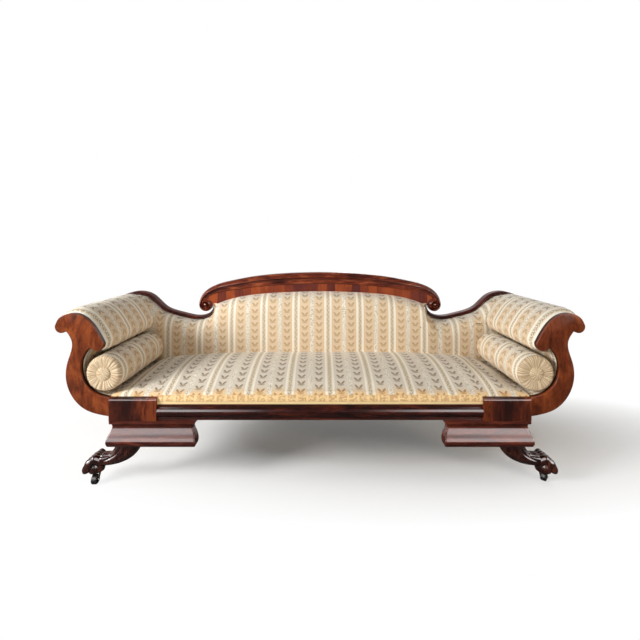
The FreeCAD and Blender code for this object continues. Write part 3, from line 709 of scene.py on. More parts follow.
def left_normals(line: np.ndarray, closed: bool) -> np.ndarray:
    """Unit normals to the left of a plane line's direction.

    Args:
        line: The line's points.
        closed: Whether its last point joins the first.

    Returns:
        One normal for each point.
    """
    if closed:
        tangent = np.roll(line, -1, 0) - np.roll(line, 1, 0)
    else:
        tangent = np.gradient(line, axis=0)
    tangent = tangent / np.maximum(np.linalg.norm(tangent, axis=1, keepdims=True), TINY)
    return np.stack([-tangent[:, 1], tangent[:, 0]], 1)


def upright(line: np.ndarray, y: np.ndarray | float) -> np.ndarray:
    """A line seen from the front, put at one depth or at one for each point."""
    return np.stack([line[:, 0], np.broadcast_to(y, len(line)), line[:, 1]], 1)


def angles(count: int) -> np.ndarray:
    """Angles at even steps round a circle."""
    return np.linspace(0, TURN, count, endpoint=False)


def polar(centre: Pair, radius: np.ndarray | float, angle: np.ndarray) -> np.ndarray:
    """Points round a centre."""
    return np.stack([centre[0] + radius * np.cos(angle), centre[1] + radius * np.sin(angle)], 1)


def both_ways(values: np.ndarray) -> np.ndarray:
    """Values from the end back to the start and out again."""
    return np.concatenate([values[:0:-1], values])


class Draft:
    """The points and faces of one piece, gathered patch by patch."""

    def __init__(self, name: str) -> None:
        """Start an empty piece.

        Args:
            name: The piece's name.
        """
        self.name = name
        self.points: list[np.ndarray] = []
        self.faces: list[tuple[int, ...]] = []
        self.cloth: list[Pair] = []
        self.count = 0

    def grid(self, spots: np.ndarray, cloth: np.ndarray | None = None, loop: bool = False) -> None:
        """Add a sheet of four-sided faces.

        Args:
            spots: Rows of points.
            cloth: Places on the cloth for each row and column, with one more column if it loops.
            loop: Whether the last column joins the first.
        """
        rows, columns = spots.shape[:2]
        self.points.append(spots.reshape(-1, 3))
        for row in range(rows - 1):
            for column in range(columns if loop else columns - 1):
                corners = [(row, column), (row, column + 1), (row + 1, column + 1), (row + 1, column)]
                self.faces.append(tuple(self.count + r * columns + c % columns for r, c in corners))
                self.cloth += [(0.0, 0.0) if cloth is None else tuple(cloth[r, c]) for r, c in corners]
        self.count += rows * columns

    def cap(self, ring: np.ndarray) -> None:
        """Close an end with one flat face.

        Args:
            ring: Points round the end.
        """
        self.points.append(ring)
        self.faces.append(tuple(range(self.count, self.count + len(ring))))
        self.cloth += [(spot[0], spot[2]) for spot in ring]
        self.count += len(ring)

    def tube(self, rings: np.ndarray, cloth: np.ndarray | None = None) -> None:
        """Add a closed solid through closed rings, with flat ends.

        Args:
            rings: The rings' points.
            cloth: Places on the cloth, as for a sheet.
        """
        self.grid(rings, cloth, True)
        self.cap(rings[0])
        self.cap(rings[-1])

    def piece(self, finish: Finish, side: Side = Side.RIGHT, crease: float = 38.0) -> bpy.types.Object:
        """Make the object.

        Args:
            finish: Its material.
            side: The side that it is on; the left mirrors what was drawn.
            crease: Edges that turn by more degrees than this stay sharp.

        Returns:
            The object, linked to the scene.
        """
        points = np.concatenate(self.points) * (side.value, 1.0, 1.0)
        mesh = bpy.data.meshes.new(self.name)
        mesh.from_pydata(points.tolist(), [], self.faces)
        mesh.uv_layers.new(name=CLOTH_MAP).data.foreach_set("uv", np.asarray(self.cloth, "f").ravel())
        edit = bmesh.new()
        edit.from_mesh(mesh)
        bmesh.ops.remove_doubles(edit, verts=edit.verts, dist=WELD)
        bmesh.ops.recalc_face_normals(edit, faces=edit.faces)
        edit.to_mesh(mesh)
        edit.free()
        mesh.shade_smooth()
        mesh.set_sharp_from_angle(angle=math.radians(crease))
        mesh.materials.append(finish.material())
        thing = bpy.data.objects.new(self.name, mesh)
        bpy.context.scene.collection.objects.link(thing)
        return thing


def install(piece: bpy.types.Object, node: str, body: str = "frame") -> None:
    """Set a new piece on its body, in place of a CAD node.

    Args:
        piece: The new piece.
        node: The node that it stands for.
        body: The body that carries it.
    """
    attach(piece, body)
    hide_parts(node)
    log.info("%s: %d faces", piece.name, len(piece.data.polygons))


def bevelled(piece: bpy.types.Object, width: float) -> bpy.types.Object:
    """Round a piece's sharp edges.

    Args:
        piece: The piece.
        width: The width of the rounding.

    Returns:
        The same piece.
    """
    modifier = piece.modifiers.new("worn_edges", "BEVEL")
    modifier.width = width
    modifier.segments = 2
    modifier.limit_method = "ANGLE"
    modifier.angle_limit = math.radians(EDGE_ANGLE)
    modifier.harden_normals = True
    return piece


def stuffed(piece: bpy.types.Object, pressure: float, limit: float, held: Callable[[Vector], bool]) -> None:
    """Let the cloth of a closed piece swell a little, then keep that shape.

    Args:
        piece: The closed piece.
        pressure: How hard the stuffing presses.
        limit: The furthest that a point may move.
        held: Tells which points are tacked down.
    """
    mesh = piece.data
    before = np.array([vertex.co for vertex in mesh.vertices])
    group = piece.vertex_groups.new(name="tacked")
    group.add([vertex.index for vertex in mesh.vertices if held(vertex.co)], 1.0, "REPLACE")
    modifier = piece.modifiers.new("stuffing", "CLOTH")
    modifier.settings.use_pressure = True
    modifier.settings.uniform_pressure_force = pressure
    modifier.settings.effector_weights.gravity = 0
    modifier.settings.vertex_group_mass = group.name
    modifier.settings.quality = 4
    scene = bpy.context.scene
    for step in range(1, STUFFING_FRAMES + 1):
        scene.frame_set(step)
    shape = piece.evaluated_get(bpy.context.evaluated_depsgraph_get()).to_mesh()
    after = np.array([vertex.co for vertex in shape.vertices])
    piece.modifiers.remove(modifier)
    piece.vertex_groups.remove(group)
    scene.frame_set(1)
    move = after - before
    length = np.maximum(np.linalg.norm(move, axis=1, keepdims=True), TINY)
    spots = before + move * np.minimum(1.0, limit / length)
    mesh.vertices.foreach_set("co", spots.astype("f").ravel())
    mesh.update()


class Layout:
    """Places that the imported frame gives, in metres."""

    def __init__(self) -> None:
        """Read the boxes of the nodes that other pieces line up with."""
        rail_low, rail_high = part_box("front_seat_rail")
        block_low, block_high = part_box("right_front_block")
        bracket_low, bracket_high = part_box("right_front_bracket")
        facing_low, facing_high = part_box("right_arm_facing")
        crest_low, crest_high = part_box("crest_rail")
        rear_low, rear_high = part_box("rear_seat_rail")
        self.rail_bottom, self.rail_top = rail_low.z, rail_high.z
        self.rail_nose, self.rail_back = rail_low.y, rail_high.y
        self.rail_face = rail_low.y + RAIL_RECESS
        self.block_inner, self.block_outer = block_low.x, block_high.x
        self.block_front, self.block_back, self.block_top = block_low.y, block_high.y, block_high.z
        self.bracket_bottom = bracket_low.z
        self.bracket_bulge = bracket_high.x - block_high.x
        self.bracket_width = block_high.x - bracket_low.x - self.bracket_bulge
        self.bracket_back = bracket_high.y
        self.facing_front, self.facing_back = facing_low.y, facing_high.y
        self.tip = facing_high.x
        self.arm_top = facing_high.z
        self.crest_top, self.crest_half = crest_high.z, crest_high.x
        self.crest_front, self.back_y = crest_low.y, crest_high.y
        self.frame_front, self.frame_back = rear_low.y, rear_high.y
        self.bead_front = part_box("right_back_moulding")[0].y
        self.band_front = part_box("crest_band")[0].y
        self.pad_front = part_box("back_pad")[0].y


place = Layout()


@dataclass(frozen=True)
class ArmShape:
    """The arm's outline seen from the front, as shares of its overhang and its rise."""

    shares: tuple[Pair, ...] = (
        (0.0, 0.036), (0.482, 0.112), (0.767, 0.315), (0.771, 0.540), (0.691, 0.737), (0.797, 0.837),
        (0.950, 0.828), (1.0, 0.884), (0.935, 0.953), (0.624, 1.0), (0.335, 0.906), (0.114, 0.719),
        (0.136, 0.676), (0.205, 0.647), (0.287, 0.654), (0.365, 0.683), (0.495, 0.587), (0.529, 0.482),
        (0.400, 0.310), (0.244, 0.248), (0.0, 0.214),
    )

    def points(self) -> list[Pair]:
        """The outline's own points, in metres.

        Returns:
            Pairs of X and Z, from the foot outward.
        """
        wide = place.tip - place.block_outer
        high = place.arm_top - place.rail_bottom
        return [(place.block_outer + x * wide, place.rail_bottom + z * high) for x, z in self.shares]

    def sweep(self) -> np.ndarray:
        """The outer S, from the foot to the underside of the scroll."""
        return smooth_line(self.points()[:6], 60)

    def scroll(self) -> np.ndarray:
        """The scroll, from its underside over the top to the notch below the ear.

        Returns:
            Points in elevation.
        """
        spots = self.points()[5:16]
        nose = round_line(*spots[0:3], 14)
        top = smooth_line(spots[2:7], 46)
        ear = round_line(*spots[6:9], 14)
        notch = round_line(*spots[8:11], 14)
        return np.concatenate([nose, top[1:], ear[1:], notch[1:]])

    def hollow(self) -> np.ndarray:
        """The hollow, from the notch down to the foot."""
        return smooth_line(self.points()[15:], 50)

    def outline(self) -> np.ndarray:
        """The whole outline, counter-clockwise."""
        return np.concatenate([self.sweep(), self.scroll()[1:], self.hollow()[1:]])

    def inner_edge(self, heights: np.ndarray) -> np.ndarray:
        """How far out the back pad may reach at each height before it meets the arm.

        Args:
            heights: The heights.

        Returns:
            An X for each height.
        """
        line = evenly(np.concatenate([self.scroll()[14:], self.hollow()[1:]]), 400)
        reach = []
        for height in heights:
            near = line[np.abs(line[:, 1] - height) < 0.006]
            reach.append(near[:, 0].min() if len(near) else place.block_outer)
        top = line[:, 1].max()
        edge = np.where(heights >= top, line[np.argmax(line[:, 1]), 0], np.asarray(reach))
        return np.where(heights < line[:, 1].min() + 0.004, place.block_outer, edge)


arm_shape = ArmShape()


def moulding_line(drop: float) -> np.ndarray:
    """The right serpentine bead's middle line, lowered by a drop, from the arm's tip to the hook.

    Args:
        drop: Distance below the middle line.

    Returns:
        Points in elevation.
    """
    low_x, low_z = place.crest_half, place.rail_bottom + BEAD_LOW
    middle_x = (low_x + place.tip) / 2 - 0.025
    points = [
        (place.tip - 0.006, place.arm_top - 0.006),
        (place.tip - 0.083, place.arm_top + 0.017),
        (place.tip - 0.167, place.arm_top),
        (middle_x, (place.arm_top + low_z) / 2 - 0.008),
        ((low_x + middle_x) / 2, low_z + 0.017),
        (low_x, low_z),
        (low_x - 0.050, low_z + 0.012),
        (low_x - 0.080, low_z + 0.038),
        (low_x - 0.093, low_z + 0.073),
    ]
    line = smooth_line(points, 120)
    return line + left_normals(line, False) * drop


def crest_edge() -> np.ndarray:
    """The right half of the crest's upper edge, from the centre down to the volute's outer side.

    Returns:
        Points in elevation.
    """
    drops = [
        (0.0, 0.0), (0.20, 0.003), (0.41, 0.012), (0.58, 0.026), (0.74, 0.047), (0.84, 0.064), (0.905, 0.083),
        (0.958, 0.109), (0.994, 0.145), (VOLUTE_OUT, VOLUTE_DROP),
    ]
    return smooth_line([(share * place.crest_half, place.crest_top - drop) for share, drop in drops], 120)


def band_low_line() -> np.ndarray:
    """The right half of the veneered band's lower edge.

    Returns:
        Points in elevation.
    """
    top = place.crest_top - BAND_DROP
    drops = [(0.0, 0.0), (0.46, 0.013), (0.63, 0.027), (0.76, 0.048), (0.85, 0.070)]
    return smooth_line([(share * place.crest_half, top - drop) for share, drop in drops], 60)


def add_moulding(draft: Draft, path: np.ndarray, halves: np.ndarray, fronts: np.ndarray,
                 back: np.ndarray | float, profile: Sequence[Pair]) -> None:
    """Run a closed profile along a path in elevation.

    Args:
        draft: The piece that it is added to.
        path: The middle line.
        halves: Half the moulding's height at each point.
        fronts: How far the moulding stands out at each point.
        back: The Y of its back, or one at each point.
        profile: Pairs of height, from -1 to 1, and of standing out, from 0 to 1.
    """
    normals = left_normals(path, False)
    shape = np.asarray(profile, float)
    rings = np.zeros((len(path), len(shape), 3))
    flat = path[:, None, :] + normals[:, None, :] * (shape[None, :, :1] * halves[:, None, None])
    rings[..., 0] = flat[..., 0]
    rings[..., 2] = flat[..., 1]
    rings[..., 1] = np.reshape(back, (-1, 1)) - shape[None, :, 1] * fronts[:, None]
    draft.tube(rings)


def add_plate(draft: Draft, outline: np.ndarray, front: float, back: float, radius: float) -> None:
    """Add a flat board with a rounded front edge.

    Args:
        draft: The piece that it is added to.
        outline: The board's closed outline in elevation, counter-clockwise.
        front: The Y of its face.
        back: The Y of its back.
        radius: The radius of the front edge.
    """
    normals = left_normals(outline, True)
    rings = [upright(outline, back)]
    for turn in np.linspace(0, math.pi / 2, 5):
        inset = outline + normals * radius * (1 - math.cos(turn))
        rings.append(upright(inset, front + radius * (1 - math.sin(turn))))
    draft.tube(np.stack(rings))


facing_mahogany = Mahogany(
    "facing_mahogany", srgb(60, 23, 10), srgb(104, 46, 20), srgb(142, 71, 31), (6.0, 6.0, 2.4), figure=2.6,
    roughness=0.24, polish=0.12, dark_sides=0.9, dark_from=place.facing_front + 0.010,
)
crotch_mahogany = Mahogany(
    "crotch_mahogany", srgb(36, 12, 9), srgb(66, 25, 14), srgb(112, 50, 23), (9.0, 6.0, 2.0), figure=3.4,
    roughness=0.18, crotch_centre=0.786, crotch_half=0.1,
)
dark_mahogany = Mahogany(
    "dark_mahogany", srgb(24, 8, 7), srgb(46, 16, 12), srgb(86, 35, 23), (1.6, 10.0, 10.0), roughness=0.15,
    polish=0.4,
)
bracket_mahogany = Mahogany(
    "bracket_mahogany", srgb(40, 14, 11), srgb(72, 27, 18), srgb(110, 50, 33), (1.6, 10.0, 10.0),
    roughness=0.2, polish=0.34,
)
bead_mahogany = Mahogany(
    "bead_mahogany", srgb(28, 10, 8), srgb(54, 20, 14), srgb(92, 40, 26), (3.0, 10.0, 3.0), roughness=0.42,
    polish=0.05,
)
crest_mahogany = Mahogany(
    "crest_mahogany", srgb(58, 21, 15), srgb(112, 48, 30), srgb(166, 86, 50), (1.8, 9.0, 9.0), roughness=0.18,
    polish=0.6,
)
carved_mahogany = Mahogany(
    "carved_mahogany", srgb(24, 9, 8), srgb(46, 18, 13), srgb(100, 50, 33), (10.0, 10.0, 3.0), wear=0.6,
    roughness=0.16, polish=0.5,
)
crest_veneer = CrossVeneer("crest_cross_veneer", srgb(168, 82, 42), srgb(130, 60, 36), srgb(90, 43, 38))
frame_wood = FrameWood()
striped_fabric = StripedFabric()
gold_gimp = GoldGimp()
jute = PlainWeave("jute_webbing", srgb(178, 152, 108), srgb(108, 78, 48), 0.017, 0.002, 0.0024)
cambric = PlainWeave("dust_cambric", srgb(66, 62, 58), srgb(38, 36, 34), 9.0, 0.001, 0.0014)
brass = OldMetal("caster_brass", srgb(60, 50, 38), srgb(28, 23, 19), 0.34)
steel = OldMetal("axle_steel", srgb(176, 174, 170), srgb(110, 106, 100), 0.3)
iron = OldMetal("wheel_iron", srgb(56, 54, 54), srgb(24, 22, 22), 0.3, 0.85)


@dataclass
class FrontShowWood:
    """The front rail with its half-round, the two corner blocks and the ogee brackets."""

    fillet: float = 0.010
    top_fillet: float = 0.018
    fillet_step: float = 0.0015
    block_round: float = 0.014
    bracket_fillet: float = 0.013
    neck: float = 0.010
    neck_height: float = 0.017
    belly_height: float = 0.0175
    end_share: float = 0.4
    corner: float = 0.003
    edge: float = 0.0012
    end_depth: float = 0.040

    def build(self) -> None:
        """Make all five pieces."""
        self.rail()
        for side in Side:
            self.block(side)
            self.bracket(side)

    def beam(self, name: str, section: np.ndarray, low_x: float, high_x: float) -> Draft:
        """A straight piece along X.

        Args:
            name: The piece's name.
            section: Pairs of Y and Z round its section.
            low_x: The X of one end.
            high_x: The X of the other end.

        Returns:
            The draft of the piece.
        """
        stations = np.linspace(low_x, high_x, 9)
        rings = [np.column_stack([np.full(len(section), x), section]) for x in stations]
        draft = Draft(name)
        draft.tube(np.stack(rings))
        return draft

    def rail(self) -> None:
        """The front rail: a half-round between two fillets."""
        front = place.rail_face
        face = front - self.fillet_step
        low, high = place.rail_bottom + self.fillet, place.rail_top - self.top_fillet
        nose = round_line((front, low), (place.rail_nose, (low + high) / 2), (front, high), 25)
        lower = [(place.rail_back, place.rail_bottom), (face, place.rail_bottom), (face, low)]
        upper = [(face, high), (face, place.rail_top), (place.rail_back, place.rail_top)]
        section = np.concatenate([lower, nose, upper])
        draft = self.beam("front_rail_moulding", section, -place.block_inner, place.block_inner)
        piece = bevelled(draft.piece(dark_mahogany), self.edge)
        install(piece, "front_seat_rail")

    def block(self, side: Side) -> None:
        """One corner block, rounded along its top front edge.

        Args:
            side: The side that it is on.
        """
        front, top = place.block_front, place.block_top
        turn = self.block_round
        slant = turn * (1 - math.sqrt(0.5))
        shoulder = round_line((front, top - turn), (front + slant, top - slant), (front + turn, top), 12)
        back = [(place.block_back, top), (place.block_back, place.rail_bottom), (front, place.rail_bottom)]
        section = np.concatenate([shoulder, back])
        draft = self.beam(side.word + "corner_block", section, place.block_inner, place.block_outer)
        piece = bevelled(draft.piece(crotch_mahogany, side), self.edge)
        install(piece, side.word + "front_block")

    def ogee(self) -> np.ndarray:
        """The bracket's side from the top down: pairs of standing out and height.

        Returns:
            The pairs.
        """
        under = place.rail_bottom - self.bracket_fillet
        bulge, foot = place.bracket_bulge, place.bracket_bulge / 2
        neck_z, belly_z = under - self.neck_height, place.bracket_bottom + self.belly_height
        high = place.rail_bottom
        top = [(-0.001, high), (0.0, high - 0.001), (0.0, under + 0.001), (-0.001, under), (-0.005, under)]
        turns = [
            (-self.neck * 0.8, under - 0.004), (-self.neck, neck_z + 0.004),
            (-self.neck * 0.82, neck_z - 0.006), ((bulge - self.neck) / 2, (neck_z + belly_z) / 2),
            (bulge * 0.9, belly_z + 0.009), (bulge, belly_z), (foot, place.bracket_bottom),
        ]
        return np.concatenate([top, smooth_line(turns, 40)])

    def bracket(self, side: Side) -> None:
        """One ogee bracket, with the profile returned round its front and both ends.

        Args:
            side: The side that it is on.
        """
        outer = place.block_outer
        inner = outer - place.bracket_width
        rings = []
        for out, height in self.ogee():
            along = out * self.end_share if out > 0 else out
            low_x, high_x, front = inner - along, outer + along, place.block_front - out
            end_back = place.block_front + self.end_depth
            ring = [(place.block_inner, place.bracket_back), (place.block_inner, end_back), (low_x, end_back)]
            for x, inward in ((low_x, 1), (high_x, -1)):
                steps = [(0, 2.0), (0, 1.0), (0.3, 0.3), (1.0, 0), (2.0, 0)]
                turn = self.corner
                spots = [(x + inward * turn * across, front + turn * deep) for across, deep in steps]
                ring += spots[::inward]
            ring.append((high_x, place.bracket_back))
            rings.append([(x, y, height) for x, y in ring])
        draft = Draft(side.word + "ogee_bracket")
        draft.tube(np.array(rings))
        install(draft.piece(bracket_mahogany, side), side.word + "front_bracket")


@dataclass
class PawLeg:
    """A carved front leg: a bowed shank, a tuft at the ankle and a paw with four toes."""

    side: Side
    width: float = 0.104
    depth: float = 0.076
    setback: float = 0.030
    reach: float = 0.157
    paw_length: float = 0.087
    paw_height: float = 0.080
    toe_radius: float = 0.015
    toe_spacing: float = 0.021
    toe_oval: Pair = (0.96, 0.84)
    toe_step: float = 0.035
    paw_half: float = 1.9
    voxel: float = 0.0017

    def __post_init__(self) -> None:
        """Work out where the leg stands."""
        box_low, box_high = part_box(self.side.word + "front_leg")
        self.low, self.high = box_low.z, box_high.z
        self.top_x = place.block_outer - self.setback - self.width / 2
        self.caster_x = self.top_x + self.reach
        self.y = (place.block_front + place.bracket_back) / 2
        self.half = self.toe_spacing * self.paw_half
        self.draft = Draft(self.side.word + "paw_leg")

    def limb(self, stations: Sequence[Sequence[float]], waves: float = 0.0, beat: int = 9) -> None:
        """Add a limb to the leg.

        Args:
            stations: Rows of X, Y, Z, tilt in degrees, half width and half depth.
            waves: Depth of the carved flutes, as a share of the radius.
            beat: How many flutes go round.
        """
        turn = angles(48)
        flute = 1 - waves * (0.5 + 0.5 * np.cos(beat * turn)) ** 2
        light_tilt = np.array(stations, float) / (1, 1, 1, TILT_SCALE, 1, 1)
        rings = []
        for x, y, z, tilt, across, depth in smooth_line(light_tilt, 26):
            angle = math.radians(tilt * TILT_SCALE)
            spot = across * np.cos(turn) * flute
            rows = [x + spot * math.cos(angle), y + depth * np.sin(turn) * flute, z + spot * math.sin(angle)]
            rings.append(np.stack(rows, 1))
        self.draft.tube(np.stack(rings))

    def at(self, along: float, rise: float, aside: float = 0.0) -> Triple:
        """A place in the paw, by shares of its length and height and a distance sideways."""
        return self.caster_x + along * self.paw_length, self.y + aside, self.low + rise * self.paw_height

    def shank(self) -> None:
        """The bowed shank from the bracket to the ankle."""
        height = self.high - self.low
        shares = [
            (0.06, 1.0, 0, 1.0, 1.0), (0.15, 0.80, 16, 0.95, 0.95), (0.32, 0.57, 38, 0.76, 0.86),
            (0.54, 0.42, 58, 0.54, 0.78), (0.72, 0.36, 68, 0.44, 0.76), (0.86, 0.36, 80, 0.42, 0.8),
        ]
        stations = []
        for along, rise, tilt, across, depth in shares:
            spot = (self.top_x + along * self.reach, self.y, self.low + rise * height)
            stations.append((*spot, tilt, across * self.width / 2, depth * self.depth / 2))
        self.limb(stations, 0.075, 11)

    def toe(self, spot: float) -> None:
        """One toe with its knuckles and its claw.

        Args:
            spot: Its place across the paw, in toes from the middle.
        """
        length = 1.0 - self.toe_step * abs(spot)
        shares = [
            (-0.30, 0.58, 105, 1.15, 0.7), (-0.05, 0.76, 92, 1.3, 0.85), (0.08, 0.66, 70, 1.12, 0.95),
            (0.22, 0.54, 48, 1.22, 1.0), (0.31, 0.40, 32, 0.98, 1.04), (0.37, 0.24, 15, 1.06, 1.06),
            (0.38, 0.06, -5, 0.7, 1.05),
        ]
        stations = []
        for along, rise, tilt, size, splay in shares:
            radius = self.toe_radius * size
            here = self.at(along * length, rise, spot * self.toe_spacing * splay)
            stations.append((*here, tilt, radius * self.toe_oval[0], radius * self.toe_oval[1]))
        self.limb(stations)
        claw = []
        hook = [(0.40, 0.27, 20, 0.5), (0.46, 0.20, 0, 0.42), (0.47, 0.09, -20, 0.26), (0.45, 0.02, -30, 0.1)]
        for along, rise, tilt, size in hook:
            radius = self.toe_radius * size
            here = self.at(along * length, rise, spot * self.toe_spacing * 1.05)
            claw.append((*here, tilt, radius, radius * 0.8))
        self.limb(claw)

    def instep(self) -> None:
        """The paw's back, which fills the hollows between the toes."""
        shares = [
            (-0.34, 0.55, 100, 0.17, 0.5), (-0.10, 0.62, 85, 0.19, 0.78), (0.10, 0.52, 62, 0.17, 0.9),
            (0.22, 0.34, 30, 0.13, 0.92), (0.25, 0.12, 0, 0.11, 0.9),
        ]
        stations = []
        for along, rise, tilt, across, depth in shares:
            stations.append((*self.at(along, rise), tilt, across * self.paw_length, self.half * depth))
        self.limb(stations)

    def sole(self) -> None:
        """The flat pad under the toes."""
        stations = []
        for rise, across, depth in ((0.0, 0.34, 0.86), (0.18, 0.38, 0.95), (0.52, 0.32, 0.78)):
            stations.append((*self.at(0.02, rise), 0, across * self.paw_length, self.half * depth))
        self.limb(stations)

    def tuft(self) -> None:
        """Pointed locks that lie back over the ankle, in two rows."""
        shares = [(0.0, 0.0, 0.5), (-0.22, 0.07, 0.62), (-0.46, 0.12, 0.45), (-0.66, 0.21, 0.1)]
        for row, (count, start, size) in enumerate(((5, -0.10, 1.0), (4, -0.34, 0.85))):
            for index in range(count):
                turn = math.radians(-70 + 140 * (index + 0.5) / count)
                stations = []
                for along, lift, girth in shares:
                    out = self.toe_radius * (1.75 - 0.5 * row + 0.45 * lift)
                    x = self.caster_x + (start + along * size) * self.paw_length
                    z = self.low + (0.56 + 0.05 * row + lift) * self.paw_height + out * math.cos(turn) * 0.62
                    radius = self.toe_radius * girth * size
                    stations.append((x, self.y + out * math.sin(turn) * 1.15, z, 98, radius, radius * 0.8))
                self.limb(stations)

    def build(self) -> None:
        """Fuse the limbs into one carving."""
        self.shank()
        for spot in (-1.5, -0.5, 0.5, 1.5):
            self.toe(spot)
        self.instep()
        self.sole()
        self.tuft()
        piece = self.draft.piece(carved_mahogany, self.side)
        piece.modifiers.new("carving", "REMESH").voxel_size = self.voxel
        piece.modifiers["carving"].use_smooth_shade = True
        soften = piece.modifiers.new("sanding", "SMOOTH")
        soften.factor = 0.5
        soften.iterations = 2
        shape = bpy.data.meshes.new_from_object(piece.evaluated_get(bpy.context.evaluated_depsgraph_get()))
        piece.modifiers.clear()
        piece.data = shape
        install(piece, self.side.word + "front_leg")


@dataclass
class CrestAssembly:
    """The crest: an arched moulding that ends in spirals, the veneered band and the beads."""

    half_height: float = 0.0335
    volute_radius: float = 0.041
    strand: float = 0.0150
    turns: float = 1.6
    boss: float = 0.0095
    sunk_back: float = 0.0025
    curl_start: int = 4
    curl_rise: float = 0.004
    curl_thinning: float = 0.62
    tightening: float = 0.66
    taper: float = 3.4
    floor_depth: float = 0.020
    boss_neck: float = 0.010
    disc_inset: float = 0.003
    band_lap: float = 0.003
    bead_half: float = 0.0092
    bead_spread: float = 0.046
    bead_point: float = 0.075
    bead_lean: float = 0.6

    def centre(self) -> Pair:
        """The right volute's centre."""
        return place.crest_half * VOLUTE_OUT - self.volute_radius, place.crest_top - VOLUTE_DROP

    def halves(self, share: np.ndarray) -> np.ndarray:
        """Half the moulding's height at shares of the way from the middle to the volute."""
        return self.half_height - (self.half_height - self.strand) * share ** self.taper

    def spiral(self) -> np.ndarray:
        """The right volute's strand, from its outer side, down and round to the boss.

        Returns:
            Points in elevation.
        """
        share = np.linspace(0, 1, 150)[self.curl_start:]
        radius = (self.volute_radius - self.strand) * (1 - self.tightening * share ** 0.85)
        return polar(self.centre(), radius, -share * self.turns * TURN)

    def moulding(self) -> None:
        """The crest moulding with both spirals, as one piece."""
        profile = (
            (-1, 0), (-1, 0.60), (-0.93, 0.72), (-0.80, 0.79), (-0.66, 0.80), (-0.54, 0.76), (-0.46, 0.68),
            (-0.38, 0.68), (-0.22, 0.70), (0.0, 0.78), (0.14, 0.89), (0.20, 0.975), (0.26, 1.0),
            (0.32, 0.985), (0.55, 0.88), (0.80, 0.76), (0.94, 0.67), (1.0, 0.60), (1, 0),
        )
        edge = crest_edge()
        along = self.halves(run_length(edge) / run_length(edge)[-1])
        inner = edge - left_normals(edge, False) * along[:, None]
        curl = self.spiral()
        path = np.concatenate([inner, curl])
        inward = np.linspace(0, 1, len(curl) + 1)[1:]
        halves = np.concatenate([along, self.strand * (1 - self.curl_thinning * inward)])
        depth = place.back_y - place.crest_front - self.curl_rise
        fronts = np.full(len(path), depth)
        backs = np.full(len(path), place.back_y)
        sunk = self.sunk_back * soft_step(inward, 0, 0.06)
        fronts[len(edge):] += self.curl_rise * soft_step(inward, 0, 0.4) - sunk
        backs[len(edge):] -= sunk
        draft = Draft("crest_moulding")
        whole = np.concatenate([path[:0:-1] * (-1, 1), path])
        add_moulding(draft, whole, both_ways(halves), both_ways(fronts), both_ways(backs), profile)
        for side in Side:
            self.boss_dome(draft, side)
        install(draft.piece(crest_mahogany), "crest_rail")

    def boss_dome(self, draft: Draft, side: Side) -> None:
        """The round boss at a volute's centre, on the disc that fills the spiral's floor.

        Args:
            draft: The piece that it is added to.
            side: The side that it is on.
        """
        out, high = self.centre()
        centre = (out * side.value, high)
        floor = place.crest_front + self.floor_depth
        disc = self.volute_radius - self.disc_inset
        steps = [(disc, place.back_y - 0.001), (disc, floor), (self.boss, floor - 0.001)]
        for rise in np.linspace(0, 80, 6):
            angle = math.radians(rise)
            steps.append((self.boss * math.cos(angle), floor - self.boss_neck - self.boss * math.sin(angle)))
        draft.tube(np.array([upright(polar(centre, radius, angles(40)), y) for radius, y in steps]))

    def bead(self, side: Side) -> None:
        """One serpentine bead: two reeds with a groove between them.

        Args:
            side: The side that it is on.
        """
        turns = np.radians(np.linspace(172, 8, 9))
        reed = [(math.cos(turn), math.sin(turn)) for turn in turns]
        profile = [(-1, 0)] + [(-0.5 + 0.5 * x, 0.78 + 0.22 * z) for x, z in reed]
        profile += [(0.5 + 0.5 * x, 0.78 + 0.22 * z) for x, z in reed] + [(1, 0)]
        path = moulding_line(0)[::-1]
        rest = run_length(path)[-1] - run_length(path)
        point = 0.4 + 0.6 * np.clip(rest / self.bead_point, 0, 1) ** 0.6
        path = path + left_normals(path, False) * ((1 - point) * self.bead_half)[:, None] * self.bead_lean
        fronts = np.full(len(path), self.bead_spread)
        draft = Draft(side.word + "serpentine_bead")
        add_moulding(draft, path, self.bead_half * point, fronts, place.frame_back, profile)
        install(draft.piece(bead_mahogany, side), side.word + "back_moulding")

    def band(self) -> None:
        """The veneered band, from its lower edge up to the moulding."""
        low = band_low_line()
        edge = crest_edge()
        along = self.halves(run_length(edge) / run_length(edge)[-1])
        under = edge - left_normals(edge, False) * (2 * along - self.band_lap)[:, None]
        turn = np.radians(np.linspace(185, 60, 60))
        end = polar(self.centre(), self.volute_radius - self.band_lap, turn)
        end = end[end[:, 1] < np.interp(end[:, 0], under[:, 0], under[:, 1])]
        reach = np.linspace(0, end[-1, 0], 60)
        high = np.stack([reach, np.interp(reach, under[:, 0], under[:, 1])], 1)
        low = np.concatenate([low, end])
        ring = np.concatenate([low, high[::-1], high[1:] * (-1, 1), low[:0:-1] * (-1, 1)])
        draft = Draft("crest_veneer_band")
        draft.tube(np.stack([upright(ring, place.band_front), upright(ring, place.frame_back)]))
        install(draft.piece(crest_veneer), "crest_band")

    def build(self) -> None:
        """Make the moulding, the band and both beads."""
        self.moulding()
        self.band()
        for side in Side:
            self.bead(side)


def dress_node(name: str, finish: Finish, edge: float = 0.0) -> None:
    """Give a CAD node its finish, and worn edges if they have a width.

    Args:
        name: The node.
        finish: Its finish.
        edge: The width of its worn edges.
    """
    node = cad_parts[name]
    node.data.materials.clear()
    node.data.materials.append(finish.material())
    if edge:
        bevelled(node, edge)
    log.info("%s: %s", name, finish.name)


